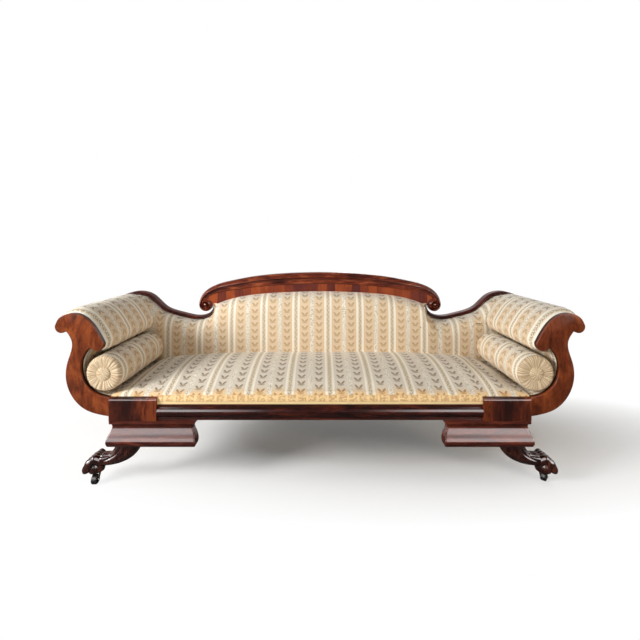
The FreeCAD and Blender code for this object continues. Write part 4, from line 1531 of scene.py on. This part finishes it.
def thickened(piece: bpy.types.Object, thickness: float) -> bpy.types.Object:
    """Give a sheet its thickness.

    Args:
        piece: The sheet.
        thickness: How thick it is.

    Returns:
        The same piece.
    """
    modifier = piece.modifiers.new("cloth_thickness", "SOLIDIFY")
    modifier.thickness = thickness
    modifier.offset = 0.0
    return piece


def soft_step(value: np.ndarray | float, low: float, high: float) -> np.ndarray:
    """A smooth rise from 0 at low to 1 at high."""
    share = np.clip((np.asarray(value) - low) / (high - low), 0, 1)
    return share * share * (3 - 2 * share)


def ring_places(rings: np.ndarray, across: np.ndarray) -> np.ndarray:
    """Places on the cloth for rings that follow its stripes.

    Args:
        rings: Closed rings of points.
        across: The place across the stripes, for each ring and point.

    Returns:
        Pairs for each ring and point, with the first point again at the end.
    """
    closed = np.concatenate([rings, rings[:, :1]], 1)
    steps = np.linalg.norm(np.diff(closed, axis=1), axis=2)
    along = np.concatenate([np.zeros((len(rings), 1)), np.cumsum(steps, 1)], 1)
    wide = np.concatenate([across, across[:, :1]], 1)
    return np.stack([wide, along], 2)


def eased(line: np.ndarray, reach: int) -> np.ndarray:
    """A line with its bends softened over a number of points; its ends stay.

    Args:
        line: Points in elevation.
        reach: How many points on each side count.

    Returns:
        The softened line.
    """
    weights = np.exp(-2.0 * (np.arange(-reach, reach + 1) / reach) ** 2)
    longer = np.pad(line, ((reach, reach), (0, 0)), "reflect", reflect_type="odd")
    columns = [np.convolve(longer[:, axis], weights / weights.sum(), "valid") for axis in (0, 1)]
    return np.stack(columns, 1)


@dataclass
class SeatAssembly:
    """The crowned seat with its gold band, and the webbing and dust cover below it."""

    front_rise: float = 0.044
    crown: float = 0.096
    back_rise: float = 0.086
    end_rise: float = 0.030
    end_crown: float = 0.005
    edge_radius: float = 0.013
    draw: float = 0.77
    gap: float = 0.0006
    wave: float = 0.0011
    band_height: float = 0.030
    band_bulge: float = 0.0022
    band_lap: float = 0.007
    front_step: float = 0.004
    band_proud: float = 0.0018
    strap_width: float = 0.050
    strap_pitch: float = 0.105
    strap_thickness: float = 0.0022
    strap_dip: float = 0.8
    strap_body: float = 0.6
    dust_thickness: float = 0.0008
    stuffing: Pair = (2.5, 0.004)
    end_rail: float = 0.040
    sag: float = 0.006

    def __post_init__(self) -> None:
        """Work out the seat's edges."""
        self.front = place.rail_face + self.front_step
        self.back = place.pad_front - self.gap
        self.end = place.block_outer - self.gap
        self.fullness = smooth_line([(0.0, 1.0), (0.5, 0.93), (0.85, 0.62), (1.0, 0.0)], 120)

    def section(self, x: float) -> np.ndarray:
        """The seat's section at one place along it, as a closed line of Y and Z.

        Args:
            x: The place.

        Returns:
            The line's points.
        """
        share = float(np.interp(abs(x) / self.end, self.fullness[:, 0], self.fullness[:, 1]))
        low = place.rail_top + self.gap
        front_z = place.rail_top + self.end_rise + share * (self.front_rise - self.end_rise)
        end_top = self.end_rise + self.end_crown
        crown_z = place.rail_top + end_top + share * (self.crown - end_top)
        back_z = place.rail_top + self.end_rise + share * (self.back_rise - self.end_rise)
        start = [(self.front, low), (self.front, low + 0.006), (self.front, low + 0.012)]
        if abs(x) > place.block_inner:
            behind = place.block_back + self.gap
            over = place.block_top + self.gap
            start = [(behind, low), (behind, over), (self.front, over)]
        radius = min(self.edge_radius, front_z - start[2][1] - 0.0005)
        slant = radius * (1 - math.sqrt(0.5))
        low_edge, high_edge = (self.front, front_z - radius), (self.front + radius, front_z)
        edge = round_line(low_edge, (self.front + slant, front_z - slant), high_edge, 10)
        middle = ((self.front + self.back) / 2, crown_z)
        top = round_line(high_edge, middle, (self.back, back_z), 44)
        under = [(self.back, low + 0.02), (self.back, low), (0.05, low), (-0.10, low)]
        return np.concatenate([start, edge, top[1:], under])

    def pad(self) -> None:
        """The seat pad, in one cover from arm to arm."""
        inner = place.block_inner
        ends = np.linspace(inner + 0.0006, self.end, 17)
        xs = np.concatenate([-ends[::-1], np.linspace(-inner + 0.0006, inner - 0.0006, 111), ends])
        rings = []
        for x in xs:
            section = self.section(x)
            wave = self.wave * np.sin(section[:, 0] * 21 + x * 9) * np.sin(x * 15 + 1.3)
            lifted = section[:, 1] + np.where(section[:, 1] > place.rail_top + 0.034, wave, 0)
            rings.append(np.column_stack([np.full(len(section), x), section[:, 0], lifted]))
        spots = np.array(rings)
        draft = Draft("seat_cushion")
        draft.tube(spots, ring_places(spots, spots[:, :, 0]) * (1, self.draw))
        piece = draft.piece(striped_fabric, crease=60)
        low = place.rail_top + 0.030
        stuffed(piece, *self.stuffing, lambda spot: spot.z < low or spot.y > self.back - 0.004)
        install(piece, "seat_pad")

    def band(self) -> None:
        """The gold band along the seat's front edge."""
        low, high = place.rail_top - self.band_lap, place.rail_top + self.band_height
        front = place.rail_face - self.band_proud
        bow = round_line((front, low), (front - self.band_bulge, (low + high) / 2), (self.front, high), 13)
        xs = np.linspace(-place.block_inner, place.block_inner, 160)
        behind = [(self.front - 0.0004, place.rail_top), (front + 0.0001, place.rail_top)]
        section = np.concatenate([bow, behind])
        rings = np.array([[(x, y, z) for y, z in section] for x in xs])
        draft = Draft("seat_gold_band")
        draft.tube(rings, ring_places(rings, rings[:, :, 0]))
        install(draft.piece(gold_gimp), "seat_front_band")

    def webbing(self) -> None:
        """Jute straps, each over and under the ones that it crosses."""
        top = place.rail_top - self.strap_thickness
        end = place.block_outer - self.end_rail
        across = place.frame_front - place.block_back
        rows = int(across // self.strap_pitch)
        first = place.block_back + (across - (rows - 1) * self.strap_pitch) / 2
        columns = 2 * int(place.block_inner // self.strap_pitch)
        draft = Draft("jute_straps")
        width = np.linspace(-self.strap_width / 2, self.strap_width / 2, 5)
        turn = math.pi / self.strap_pitch
        total = 0.0
        start_x = -(columns - 1) / 2 * self.strap_pitch
        lengthwise = (rows, first, start_x, np.linspace(-end, end, 240))
        crosswise = (columns, start_x, first, np.linspace(place.rail_back, place.frame_front, 90))
        for over, (count, start, crossing, run) in enumerate((lengthwise, crosswise)):
            for index in range(count):
                wave = np.cos((run - crossing) * turn + (index + over) * math.pi)
                heights = top + wave * self.strap_thickness * self.strap_dip
                self.strap(draft, run, width + start + index * self.strap_pitch, heights, bool(over))
            total += float(count * np.ptp(run))
        piece = thickened(draft.piece(jute), self.strap_thickness * self.strap_body)
        install(piece, "seat_webbing")

    def strap(self, draft: Draft, run: np.ndarray, wide: np.ndarray, heights: np.ndarray,
              crosswise: bool) -> None:
        """Add one strap.

        Args:
            draft: The piece that it is added to.
            run: Places along the strap.
            wide: Places across the strap.
            heights: Its height at each place along it.
            crosswise: Whether it runs from front to back.
        """
        along, across = np.meshgrid(run, wide, indexing="ij")
        level = np.repeat(heights[:, None], len(wide), 1)
        x, y = (across, along) if crosswise else (along, across)
        cloth = np.stack([across - wide.mean(), along], 2)
        draft.grid(np.stack([x, y, level], 2), cloth)

    def dust_cover(self) -> None:
        """The cambric under the frame, with a little sag."""
        end = place.block_outer - self.end_rail
        x, share = np.meshgrid(np.linspace(-end, end, 81), np.linspace(0, 1, 25), indexing="ij")
        front = np.where(np.abs(x) < place.block_inner, place.rail_back, place.block_back)
        y = front + share * (place.frame_front - front)
        dip = self.sag * np.cos(x / end * math.pi / 2) * np.sin(share * math.pi) ** 1.5
        spots = np.stack([x, y, place.rail_bottom + 0.001 - dip], 2)
        draft = Draft("dust_cambric_cover")
        draft.grid(spots, np.stack([x, y], 2))
        piece = thickened(draft.piece(cambric), self.dust_thickness)
        install(piece, "dust_cover")

    def build(self) -> None:
        """Make the seat's four pieces."""
        self.pad()
        self.band()
        self.webbing()
        self.dust_cover()


@dataclass
class BackAssembly:
    """The stuffed back and the cloth panel behind it."""

    rounding: float = 0.085
    lip: float = 0.016
    side_rounding: float = 0.030
    side_draw: float = 0.014
    bulge: float = 0.005
    bulge_ends: Pair = (0.66, 0.82)
    pull: float = 0.0009
    bead_half: float = 0.0105
    gap: float = 0.0008
    slack: float = 0.0015
    roundness: float = 2.4
    cover_lap: float = 0.022
    cover_gap: float = 0.002
    pad_start: float = 0.95
    cover_start: float = 1.0
    stuffing: Pair = (2.0, 0.0025)

    def top_line(self, drop: float) -> np.ndarray:
        """The right half of the edge below the band and the bead, from the middle out.

        Args:
            drop: How far it is below the bead's middle line.

        Returns:
            Points in elevation.
        """
        band = band_low_line() - (0, self.gap)
        bead = moulding_line(drop)[::-1]
        line = np.concatenate([band, bead[bead[:, 0] > band[-1, 0] + 0.002]])
        return line[np.argsort(line[:, 0])]

    def arm_edge(self) -> np.ndarray:
        """Heights, and how far the pad reaches at them.

        Returns:
            Pairs of a height and an X.
        """
        heights = np.linspace(place.rail_top, place.arm_top + 0.03, 240)
        padded = np.pad(arm_shape.inner_edge(heights), 3, "edge")
        return np.stack([heights, np.convolve(padded, np.ones(7) / 7, "valid") - 0.001], 1)

    def fitted(self, side: np.ndarray, rise: np.ndarray, low: float, top: np.ndarray,
               edge: np.ndarray, start: float) -> tuple[np.ndarray, np.ndarray]:
        """Spread a grid over the back.

        Args:
            side: From -1 at the left edge to 1 at the right one.
            rise: From 0 at the lower level to 1 at the top.
            low: The height of the lower level.
            top: Points along the right half of the top.
            edge: Heights, and how far out the grid reaches at them.
            start: How far out its sides are taken to be at first.

        Returns:
            The grid's X and its Z.
        """
        x = side * start
        for _ in range(FIT_ROUNDS):
            z = low + rise * (np.interp(np.abs(x), top[:, 0], top[:, 1]) - low)
            x = side * np.interp(z, edge[:, 0], edge[:, 1])
        return x, z

    def pad(self) -> None:
        """The back pad: thick, rolled over along its top and tucked in at the arms."""
        edge = self.arm_edge()
        top = self.top_line(self.bead_half + self.gap)
        low = place.rail_top + self.gap
        side, rise = np.meshgrid(np.linspace(-1, 1, 181), np.linspace(0, 1, 54), indexing="ij")
        rise = 1 - (1 - rise) ** 1.5
        x, z = self.fitted(side, rise, low, top, edge, self.pad_start)
        limit = np.interp(np.abs(x), top[:, 0], top[:, 1])
        near_top = np.clip(1 - (limit - z) / self.rounding, 0, 1)
        full = place.frame_front - place.pad_front
        depth = self.lip + (full - self.lip) * (1 - near_top ** self.roundness) ** (1 / self.roundness)
        near_side = np.clip(1 - (1 - np.abs(side)) * 0.95 / self.side_rounding, 0, 1)
        depth = depth - self.side_draw * near_side ** 2 * (depth / full)
        middle = (1 - soft_step(np.abs(x), *self.bulge_ends)) * np.sin(np.pi * np.clip(rise, 0, 1)) ** 0.8
        pulls = self.pull * np.sin(x * 46 + 0.8 * np.sin(x * 11)) * np.sin(np.pi * rise)
        pulls = pulls * soft_step(limit - z, 0.01, 0.05)
        front = np.stack([x, place.frame_front - depth - self.bulge * middle - pulls, z], 2)
        back = np.stack([x, np.full_like(x, place.frame_front - self.gap), z], 2)
        rings = np.concatenate([front, back[:, ::-1]], 1)
        draft = Draft("back_cushion")
        draft.tube(rings, ring_places(rings * (0, 1, 1), rings[:, :, 0]))
        piece = draft.piece(striped_fabric, crease=70)
        behind = place.frame_front - self.lip - 0.012
        fixed_low = place.rail_top + 0.05
        wide = self.bulge_ends[1]
        stuffed(piece, *self.stuffing,
                lambda spot: spot.y > behind or spot.z < fixed_low or abs(spot.x) > wide)
        install(piece, "back_pad")

    def outside_cover(self) -> None:
        """The cloth panel over the back of the frame."""
        sweep = arm_shape.sweep()
        foot = (place.block_outer, place.rail_bottom)
        tip = [(place.tip - 0.006, sweep[-1, 1] + 0.012), (place.tip - 0.004, place.arm_top + 0.03)]
        edge = np.concatenate([[foot], sweep, tip])
        edge = edge[np.argsort(edge[:, 1])] - (0.003, 0)
        top = self.top_line(0.0)
        top[:, 1] += np.where(top[:, 0] < band_low_line()[-1, 0], self.cover_lap, 0.0)
        side, rise = np.meshgrid(np.linspace(-1, 1, 121), np.linspace(0, 1, 41), indexing="ij")
        x, z = self.fitted(side, rise, place.rail_bottom, top, edge[:, ::-1], self.cover_start)
        slack = self.slack * np.sin(np.pi * rise) * np.cos(side * math.pi / 2)
        spots = np.stack([x, place.frame_back + self.cover_gap + slack, z], 2)
        draft = Draft("outside_back_panel")
        draft.grid(spots, np.stack([x, z], 2))
        piece = thickened(draft.piece(striped_fabric), FABRIC_THICKNESS)
        install(piece, "outside_back_cover")

    def build(self) -> None:
        """Make the pad and the panel."""
        self.pad()
        self.outside_cover()


@dataclass
class ArmAssembly:
    """One arm: the show-wood facing, the roll, the inside pad and the outside cover."""

    side: Side
    facing_edge: float = 0.0028
    inset: float = 0.003
    pad_thickness: float = 0.018
    pucker: float = 0.0011
    pucker_reach: float = 0.045
    swell: float = 0.021
    sag: float = 0.027
    ease: int = 9
    swell_reach: float = 0.06
    tail: float = 0.035
    cloth_shift: float = 0.295
    tightness: float = 0.0015
    sag_width: float = 0.026
    sag_heights: Pair = (0.006, 0.06)

    def depths(self) -> np.ndarray:
        """Places from the facing to the back frame, closer together near the facing."""
        share = np.linspace(0, 1, 46) ** 1.4
        return place.facing_back + share * (place.frame_front - place.facing_back)

    def facing(self) -> None:
        """The S-shaped facing board."""
        draft = Draft(self.side.word + "scroll_facing")
        add_plate(draft, arm_shape.outline(), place.facing_front, place.facing_back, self.facing_edge)
        install(draft.piece(facing_mahogany, self.side), self.side.word + "arm_facing")

    def padded_run(self, name: str, ring: np.ndarray, shown: int, node: str, grown: np.ndarray) -> None:
        """A stuffed piece that runs from the facing to the back.

        Args:
            name: The piece's name.
            ring: Its closed section in elevation, counter-clockwise.
            shown: How many of the section's first points are cloth in view.
            node: The node that it stands for.
            grown: The same section where the stuffing is fullest.
        """
        normals = left_normals(ring, True)
        run = run_length(ring)
        in_view = np.arange(len(ring)) < shown
        fade = np.where(in_view, soft_step(run, 0, 0.012) * soft_step(run[shown - 1] - run, 0, 0.012), 0)
        rings = []
        for y in self.depths():
            from_front = y - place.facing_back
            share = from_front / (place.frame_front - place.facing_back)
            reach = math.exp(-from_front / self.pucker_reach)
            folds = np.sin(run * 260 + 2.2 * np.sin(run * 41)) * self.pucker * reach
            full = math.sin(math.pi / 2 * min(from_front / self.swell_reach, 1)) ** 0.7
            full *= 1 - float(soft_step(y, place.bead_front - self.tail, place.bead_front - 0.004))
            move = (grown - ring) * full - normals * (folds * (1 - share))[:, None]
            rings.append(upright(ring + move * fade[:, None], y))
        spots = np.array(rings)
        draft = Draft(self.side.word + name)
        draft.tube(spots, ring_places(spots, spots[:, :, 1] + self.cloth_shift))
        piece = draft.piece(striped_fabric, self.side, crease=60)
        install(piece, self.side.word + node)

    def roll(self) -> None:
        """The roll over the top rail."""
        scroll = arm_shape.scroll()
        line = evenly(scroll + left_normals(scroll, False) * self.inset, 96)
        hollow = arm_shape.hollow()
        core = hollow[0] + left_normals(hollow, False)[0] * (self.inset + self.pad_thickness)
        ring = np.concatenate([line, [core + (-0.002, 0.004), core + (0.01, 0.004)]])
        normals = -left_normals(ring, True)
        swell = self.tightness + self.swell * soft_step(normals[:, 1], -0.35, 0.75)
        lowest = ring[np.argmin(line[:, 1])]
        near = np.exp(-((ring[:, 0] - lowest[0]) / self.sag_width) ** 2)
        swell = swell + self.sag * near * (1 - soft_step(ring[:, 1] - lowest[1], *self.sag_heights))
        grown = ring + normals * swell[:, None]
        grown[:len(line)] = eased(grown[:len(line)], self.ease)
        self.padded_run("arm_roll", ring, len(line), "arm_roll_pad", grown)

    def inside(self) -> None:
        """The pad in the hollow of the arm."""
        hollow = arm_shape.hollow()
        normals = left_normals(hollow, False)
        front = evenly(hollow + normals * self.inset, 60)
        back = evenly(hollow + normals * (self.inset + self.pad_thickness), 30)[::-1]
        back = np.maximum(back, (place.block_outer + 0.001, place.rail_top + 0.001))
        ring = np.concatenate([front, back])
        grown = ring - left_normals(ring, True) * 0.001
        self.padded_run("inside_arm_cushion", ring, len(front), "inside_arm_pad", grown)

    def outside(self) -> None:
        """The cover stretched along the outer S."""
        sweep = arm_shape.sweep()
        line = sweep + left_normals(sweep, False) * (self.inset + 0.002)
        line = line[line[:, 0] > place.block_outer + 0.001]
        ys = np.linspace(place.facing_back + 0.0005, place.frame_back, 30)
        spots = np.array([upright(line, y) for y in ys])
        run = run_length(line)
        cloth = np.stack([np.repeat(ys[:, None], len(line), 1), np.repeat(run[None], len(ys), 0)], 2)
        draft = Draft(self.side.word + "outside_arm_panel")
        draft.grid(spots, cloth)
        piece = thickened(draft.piece(striped_fabric, self.side), FABRIC_THICKNESS)
        install(piece, self.side.word + "outside_arm_cover")

    def build(self) -> None:
        """Make the arm's four pieces."""
        self.facing()
        self.roll()
        self.inside()
        self.outside()


@dataclass
class BolsterAssembly:
    """One loose bolster: a stuffed roll with pleated ends and a covered button in each."""

    side: Side
    rim: float = 0.017
    draw: float = 0.003
    button: float = 0.030
    button_rise: float = 0.0105
    sink: float = 0.0063
    pleats: int = 22
    pleat_depth: float = 0.0056
    repeats: int = 11
    rim_fold: float = 0.0006
    unevenness: float = 0.0008
    tuck: float = 0.0005
    cloth_shift: float = 0.29
    stuffing: Pair = (1.5, 0.0012)

    def __post_init__(self) -> None:
        """Read the bolster's place from its solid."""
        low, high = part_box("right_bolster")
        self.x, self.z = (low.x + high.x) / 2, (low.z + high.z) / 2
        self.front, self.back = low.y, high.y
        self.radius = (high.x - low.x) / 2
        self.turn = angles(144)
        self.draft = Draft(self.side.word + "bolster_roll")

    def ring(self, radius: np.ndarray | float, y: np.ndarray | float) -> np.ndarray:
        """A ring round the bolster's line, with one radius and depth or one for each point."""
        return upright(polar((self.x, self.z), radius, self.turn), y)

    def gathered(self, repeats: int, inward: np.ndarray) -> np.ndarray:
        """Places on cloth that is drawn together, by its repeats round the rim and places inward."""
        around = np.arange(len(self.turn) + 1) / len(self.turn) * repeats * striped_fabric.repeat
        return np.stack(np.meshgrid(around, striped_fabric.gathered_at + inward), 2)

    def body(self) -> None:
        """The long round side, fuller at the middle."""
        share = np.linspace(0, 1, 60)
        ys = self.front + self.rim + share * (self.back - self.front - 2 * self.rim)
        radii = self.radius - self.draw * (2 * share - 1) ** 2
        rings = []
        for y, radius, spot in zip(ys, radii, share):
            near = math.exp(-min(spot, 1 - spot) * 24)
            folds = self.rim_fold * near * np.cos(self.turn * self.pleats + np.sin(self.turn * 5))
            uneven = self.unevenness * np.sin(self.turn * 3 + spot * 9) * math.sin(math.pi * spot)
            rings.append(self.ring(radius + folds + uneven, y))
        spots = np.array(rings)
        self.draft.grid(spots, ring_places(spots, spots[:, :, 1] + self.cloth_shift), True)

    def end(self, sign: int) -> None:
        """One pleated end, from the rim in to the button's seat.

        Args:
            sign: 1 at the front and -1 at the back.
        """
        end_y = self.front if sign > 0 else self.back
        outer = self.radius - self.draw
        rings, radii = [], []
        for angle in np.linspace(0, math.pi / 2, 7):
            radii.append((outer - self.rim * (1 - math.cos(angle)), self.rim * (1 - math.sin(angle))))
        for share in np.linspace(0, 1, 12)[1:]:
            radius = outer - self.rim - share * (outer - self.rim - self.button * 0.96)
            radii.append((radius, self.sink * share ** 1.8))
        phase = self.pleats * self.turn + 1.7 * np.sin(3 * self.turn) + 0.9 * np.sin(7 * self.turn + 1)
        uneven = 0.68 + 0.2 * np.sin(5 * self.turn + 2) + 0.12 * np.sin(11 * self.turn)
        ridge = uneven * (1 - np.abs(np.sin(phase / 2)) ** 0.7)
        for radius, depth in radii:
            share = (outer - radius) / (outer - self.button)
            share = min(max(share, 0.0), 1.0)
            fold = self.pleat_depth * math.sin(math.pi * share ** 0.8) ** 0.8
            rings.append(self.ring(radius, end_y + sign * (depth + fold * ridge)))
        spots = np.array(rings)
        inward = np.array([outer - radius for radius, _ in radii])
        self.draft.grid(spots, self.gathered(self.repeats, inward), True)
        self.draft.cap(spots[-1])

    def buttons(self) -> None:
        """The covered buttons, as one piece."""
        draft = Draft(self.side.word + "bolster_covered_buttons")
        edge = self.button - 0.0006
        for sign, end_y in ((1, self.front), (-1, self.back)):
            base = end_y + sign * self.sink
            rings = [self.ring(edge * 0.9, base + sign * 0.001)]
            for angle in np.linspace(0, math.radians(86), 12):
                tuck = self.tuck * np.cos(self.turn * 12 + np.sin(self.turn * 3)) * math.cos(angle)
                rise = (self.button_rise - 0.0008) * math.sin(angle) ** 0.8
                rings.append(self.ring(edge * math.cos(angle) + tuck, base - sign * rise))
            spots = np.array(rings)
            draft.grid(spots, self.gathered(4, np.linspace(0, self.button, len(spots))), True)
            draft.cap(spots[0])
            draft.cap(spots[-1])
        piece = draft.piece(striped_fabric, self.side, crease=75)
        name = self.side.word + "bolster_buttons"
        install(piece, name, body=self.side.word + "roll_cushion")

    def build(self) -> None:
        """Make the roll and its buttons."""
        self.body()
        self.end(1)
        self.end(-1)
        piece = self.draft.piece(striped_fabric, self.side, crease=75)
        ends = (self.front + self.rim, self.back - self.rim)
        stuffed(piece, *self.stuffing, lambda spot: not ends[0] < spot.y < ends[1])
        install(piece, self.side.word + "bolster", body=self.side.word + "roll_cushion")
        self.buttons()


@dataclass
class Casters:
    """Finishes for the four casters, whose solids stay."""

    corners: tuple[str, ...] = ("left_front", "right_front", "left_rear", "right_rear")
    edge: float = 0.0005

    def build(self) -> None:
        """Dress every plate, horn, axle and wheel."""
        dress_node("caster_plates", brass, self.edge)
        for corner in self.corners:
            dress_node(corner + "_caster_horn", brass, self.edge)
            dress_node(corner + "_caster_axle", steel, self.edge)
            dress_node(corner + "_caster_wheel", iron)


@dataclass
class HiddenFrame:
    """Finishes for the frame inside the upholstery and for the rear legs."""

    single: tuple[str, ...] = ("rear_seat_rail", "corner_blocks", "back_lower_rail")
    paired: tuple[str, ...] = ("seat_end_rail", "seat_brace", "arm_top_rail", "back_stile")
    stained: tuple[str, ...] = ("rear_arm_post", "back_ramp_rail")
    leg_edge: float = 0.002
    rail_edge: float = 0.0015

    def build(self) -> None:
        """Dress every rail, brace, post and leg."""
        names = list(self.single)
        for side in Side:
            names += [side.word + name for name in self.paired]
            dress_node(side.word + "rear_leg", dark_mahogany, self.leg_edge)
            for name in self.stained:
                dress_node(side.word + name, dark_mahogany, self.rail_edge)
        for name in names:
            dress_node(name, frame_wood, self.rail_edge)


@dataclass
class Studio:
    """The pale floor, the soft light and the camera."""

    lens: float = 22.67
    sensor: float = 36.0
    eye: Triple = (0.0, -1.991, 1.029)
    shift: float = -0.12
    floor_half: float = 9.0
    window: float = 13.0
    ambient: float = 0.13
    floor_tone: Colour = srgb(246, 245, 243)
    mirrored_tone: Colour = srgb(52, 48, 46)
    shade_centre: Triple = (0.35, 0.2, 0.0)
    shade_shape: Triple = (0.38, 1.0, 1.0)

    def rays(self, graph: Graph) -> tuple[Sock, Sock]:
        """Masks of the camera's own rays, and of the mirrored and refracted ones.

        Args:
            graph: The nodes of the floor or the world.

        Returns:
            Both masks.
        """
        outputs = graph.add("LightPath", {}, {}).socket.node.outputs
        mirrored = Sock(graph, outputs["Is Glossy Ray"]) + Sock(graph, outputs["Is Transmission Ray"])
        return Sock(graph, outputs["Is Camera Ray"]), mirrored

    def floor(self) -> None:
        """A pale floor that keeps the shadow near the sofa and is white far off."""
        half = self.floor_half
        mesh = bpy.data.meshes.new("studio_floor")
        corners = [(-half, -half, 0), (half, -half, 0), (half, half, 0), (-half, half, 0)]
        mesh.from_pydata(corners, [], [(0, 1, 2, 3)])
        ground = bpy.data.objects.new("studio_floor", mesh)
        bpy.context.scene.collection.objects.link(ground)
        paint = bpy.data.materials.new("studio_floor")
        graph = Graph(paint)
        shifted = graph.add("VectorMath", {"operation": "SUBTRACT"}, {0: graph.place(), 1: self.shade_centre})
        spot = graph.stretched(shifted, self.shade_shape)
        far = graph.add("VectorMath", {"operation": "LENGTH"}, {0: spot}, 1).above(0.51, 0.44)
        behind = graph.axes(graph.place())[1].above(0.6, 0.4)
        white = graph.add("Emission", {}, {"Color": (1, 1, 1, 1), "Strength": 1.0})
        camera, mirrored = self.rays(graph)
        tone = graph.mix(mirrored * (1 - behind) * 0.85, self.floor_tone, self.mirrored_tone)
        graph.set(Base_Color=tone, Roughness=0.9, Specular_IOR_Level=0.1)
        shader = Sock(graph, graph.shader.outputs[0])
        mixed = graph.add("MixShader", {}, {0: far * (camera + mirrored * behind), 1: shader, 2: white})
        graph.feed(graph.tree.nodes["Material Output"].inputs["Surface"], mixed)
        mesh.materials.append(paint)

    def lamp(self, name: str, spot: Triple, aim: Triple, size: Pair, power: float,
             tint: Pair = (1.0, 1.0)) -> None:
        """One soft box.

        Args:
            name: Its name.
            spot: Where it stands.
            aim: The point that it faces.
            size: Its width and height.
            power: Its power in watts.
            tint: Its green and blue, beside a full red.
        """
        light = bpy.data.lights.new(name, "AREA")
        light.color = (1.0, *tint)
        light.shape = "RECTANGLE"
        light.size, light.size_y = size
        light.energy = power
        lamp = bpy.data.objects.new(name, light)
        lamp.location = spot
        lamp.rotation_euler = (Vector(aim) - Vector(spot)).to_track_quat("-Z", "Y").to_euler()
        bpy.context.scene.collection.objects.link(lamp)

    def lamps(self) -> None:
        """A far key from the left, a weak fill, a strip above each end and a light from behind."""
        self.lamp("key", (-3.6, -2.0, 2.0), (0.1, 0.0, 0.45), (1.3, 1.2), 206)
        self.lamp("fill", (2.6, -2.2, 1.2), (0.6, -0.2, 0.4), (0.9, 0.9), 25, (0.9, 0.77))
        self.lamp("left_top", (-1.7, -0.7, 2.9), (-0.4, -0.2, 0.3), (1.1, 0.3), 9)
        self.lamp("right_top", (1.7, -0.7, 2.9), (0.4, -0.2, 0.3), (1.1, 0.3), 6)
        self.lamp("rear", (1.2, 3.4, 2.2), (0.0, 0.3, 0.3), (2.0, 1.2), 24)

    def world(self) -> None:
        """A white background behind the sofa, soft grey elsewhere, and two bright windows in the polish."""
        sky = bpy.data.worlds.new("studio_world")
        graph = Graph(sky)
        x, y, z = graph.axes(graph.add("TexCoord", {}, {}, "Generated"))
        behind = y.above(0.35, 0.4)
        windows = abs(x).above(0.2, 0.16) * y.within(-0.1, 0.2) * z.above(0.08, 0.12) * z.within(0.66, 0.2)
        camera, mirrored = self.rays(graph)
        shown = (camera + mirrored * behind) * (1 - self.ambient) + mirrored * windows * self.window
        graph.set(Color=(1, 1, 1, 1), Strength=self.ambient + shown)
        bpy.context.scene.world = sky

    def camera(self) -> None:
        """A level camera in front of the sofa."""
        lens = bpy.data.cameras.new("photo_camera")
        lens.lens = self.lens
        lens.sensor_width = self.sensor
        lens.shift_y = self.shift
        view = bpy.data.objects.new("photo_camera", lens)
        view.location = self.eye
        view.rotation_euler = (math.pi / 2, 0, 0)
        bpy.context.scene.collection.objects.link(view)
        bpy.context.scene.camera = view

    def build(self) -> None:
        """Set up the stage."""
        bpy.context.scene.view_settings.view_transform = "Standard"
        self.floor()
        self.lamps()
        self.world()
        self.camera()


def main() -> None:
    """Build the sofa's sub-assemblies in order."""
    logging.basicConfig(level=logging.INFO, format="%(name)s %(message)s")
    Studio().build()
    FrontShowWood().build()
    CrestAssembly().build()
    SeatAssembly().build()
    BackAssembly().build()
    for side in Side:
        PawLeg(side).build()
        ArmAssembly(side).build()
        BolsterAssembly(side).build()
    Casters().build()
    HiddenFrame().build()


if __name__ == "__main__":
    main()
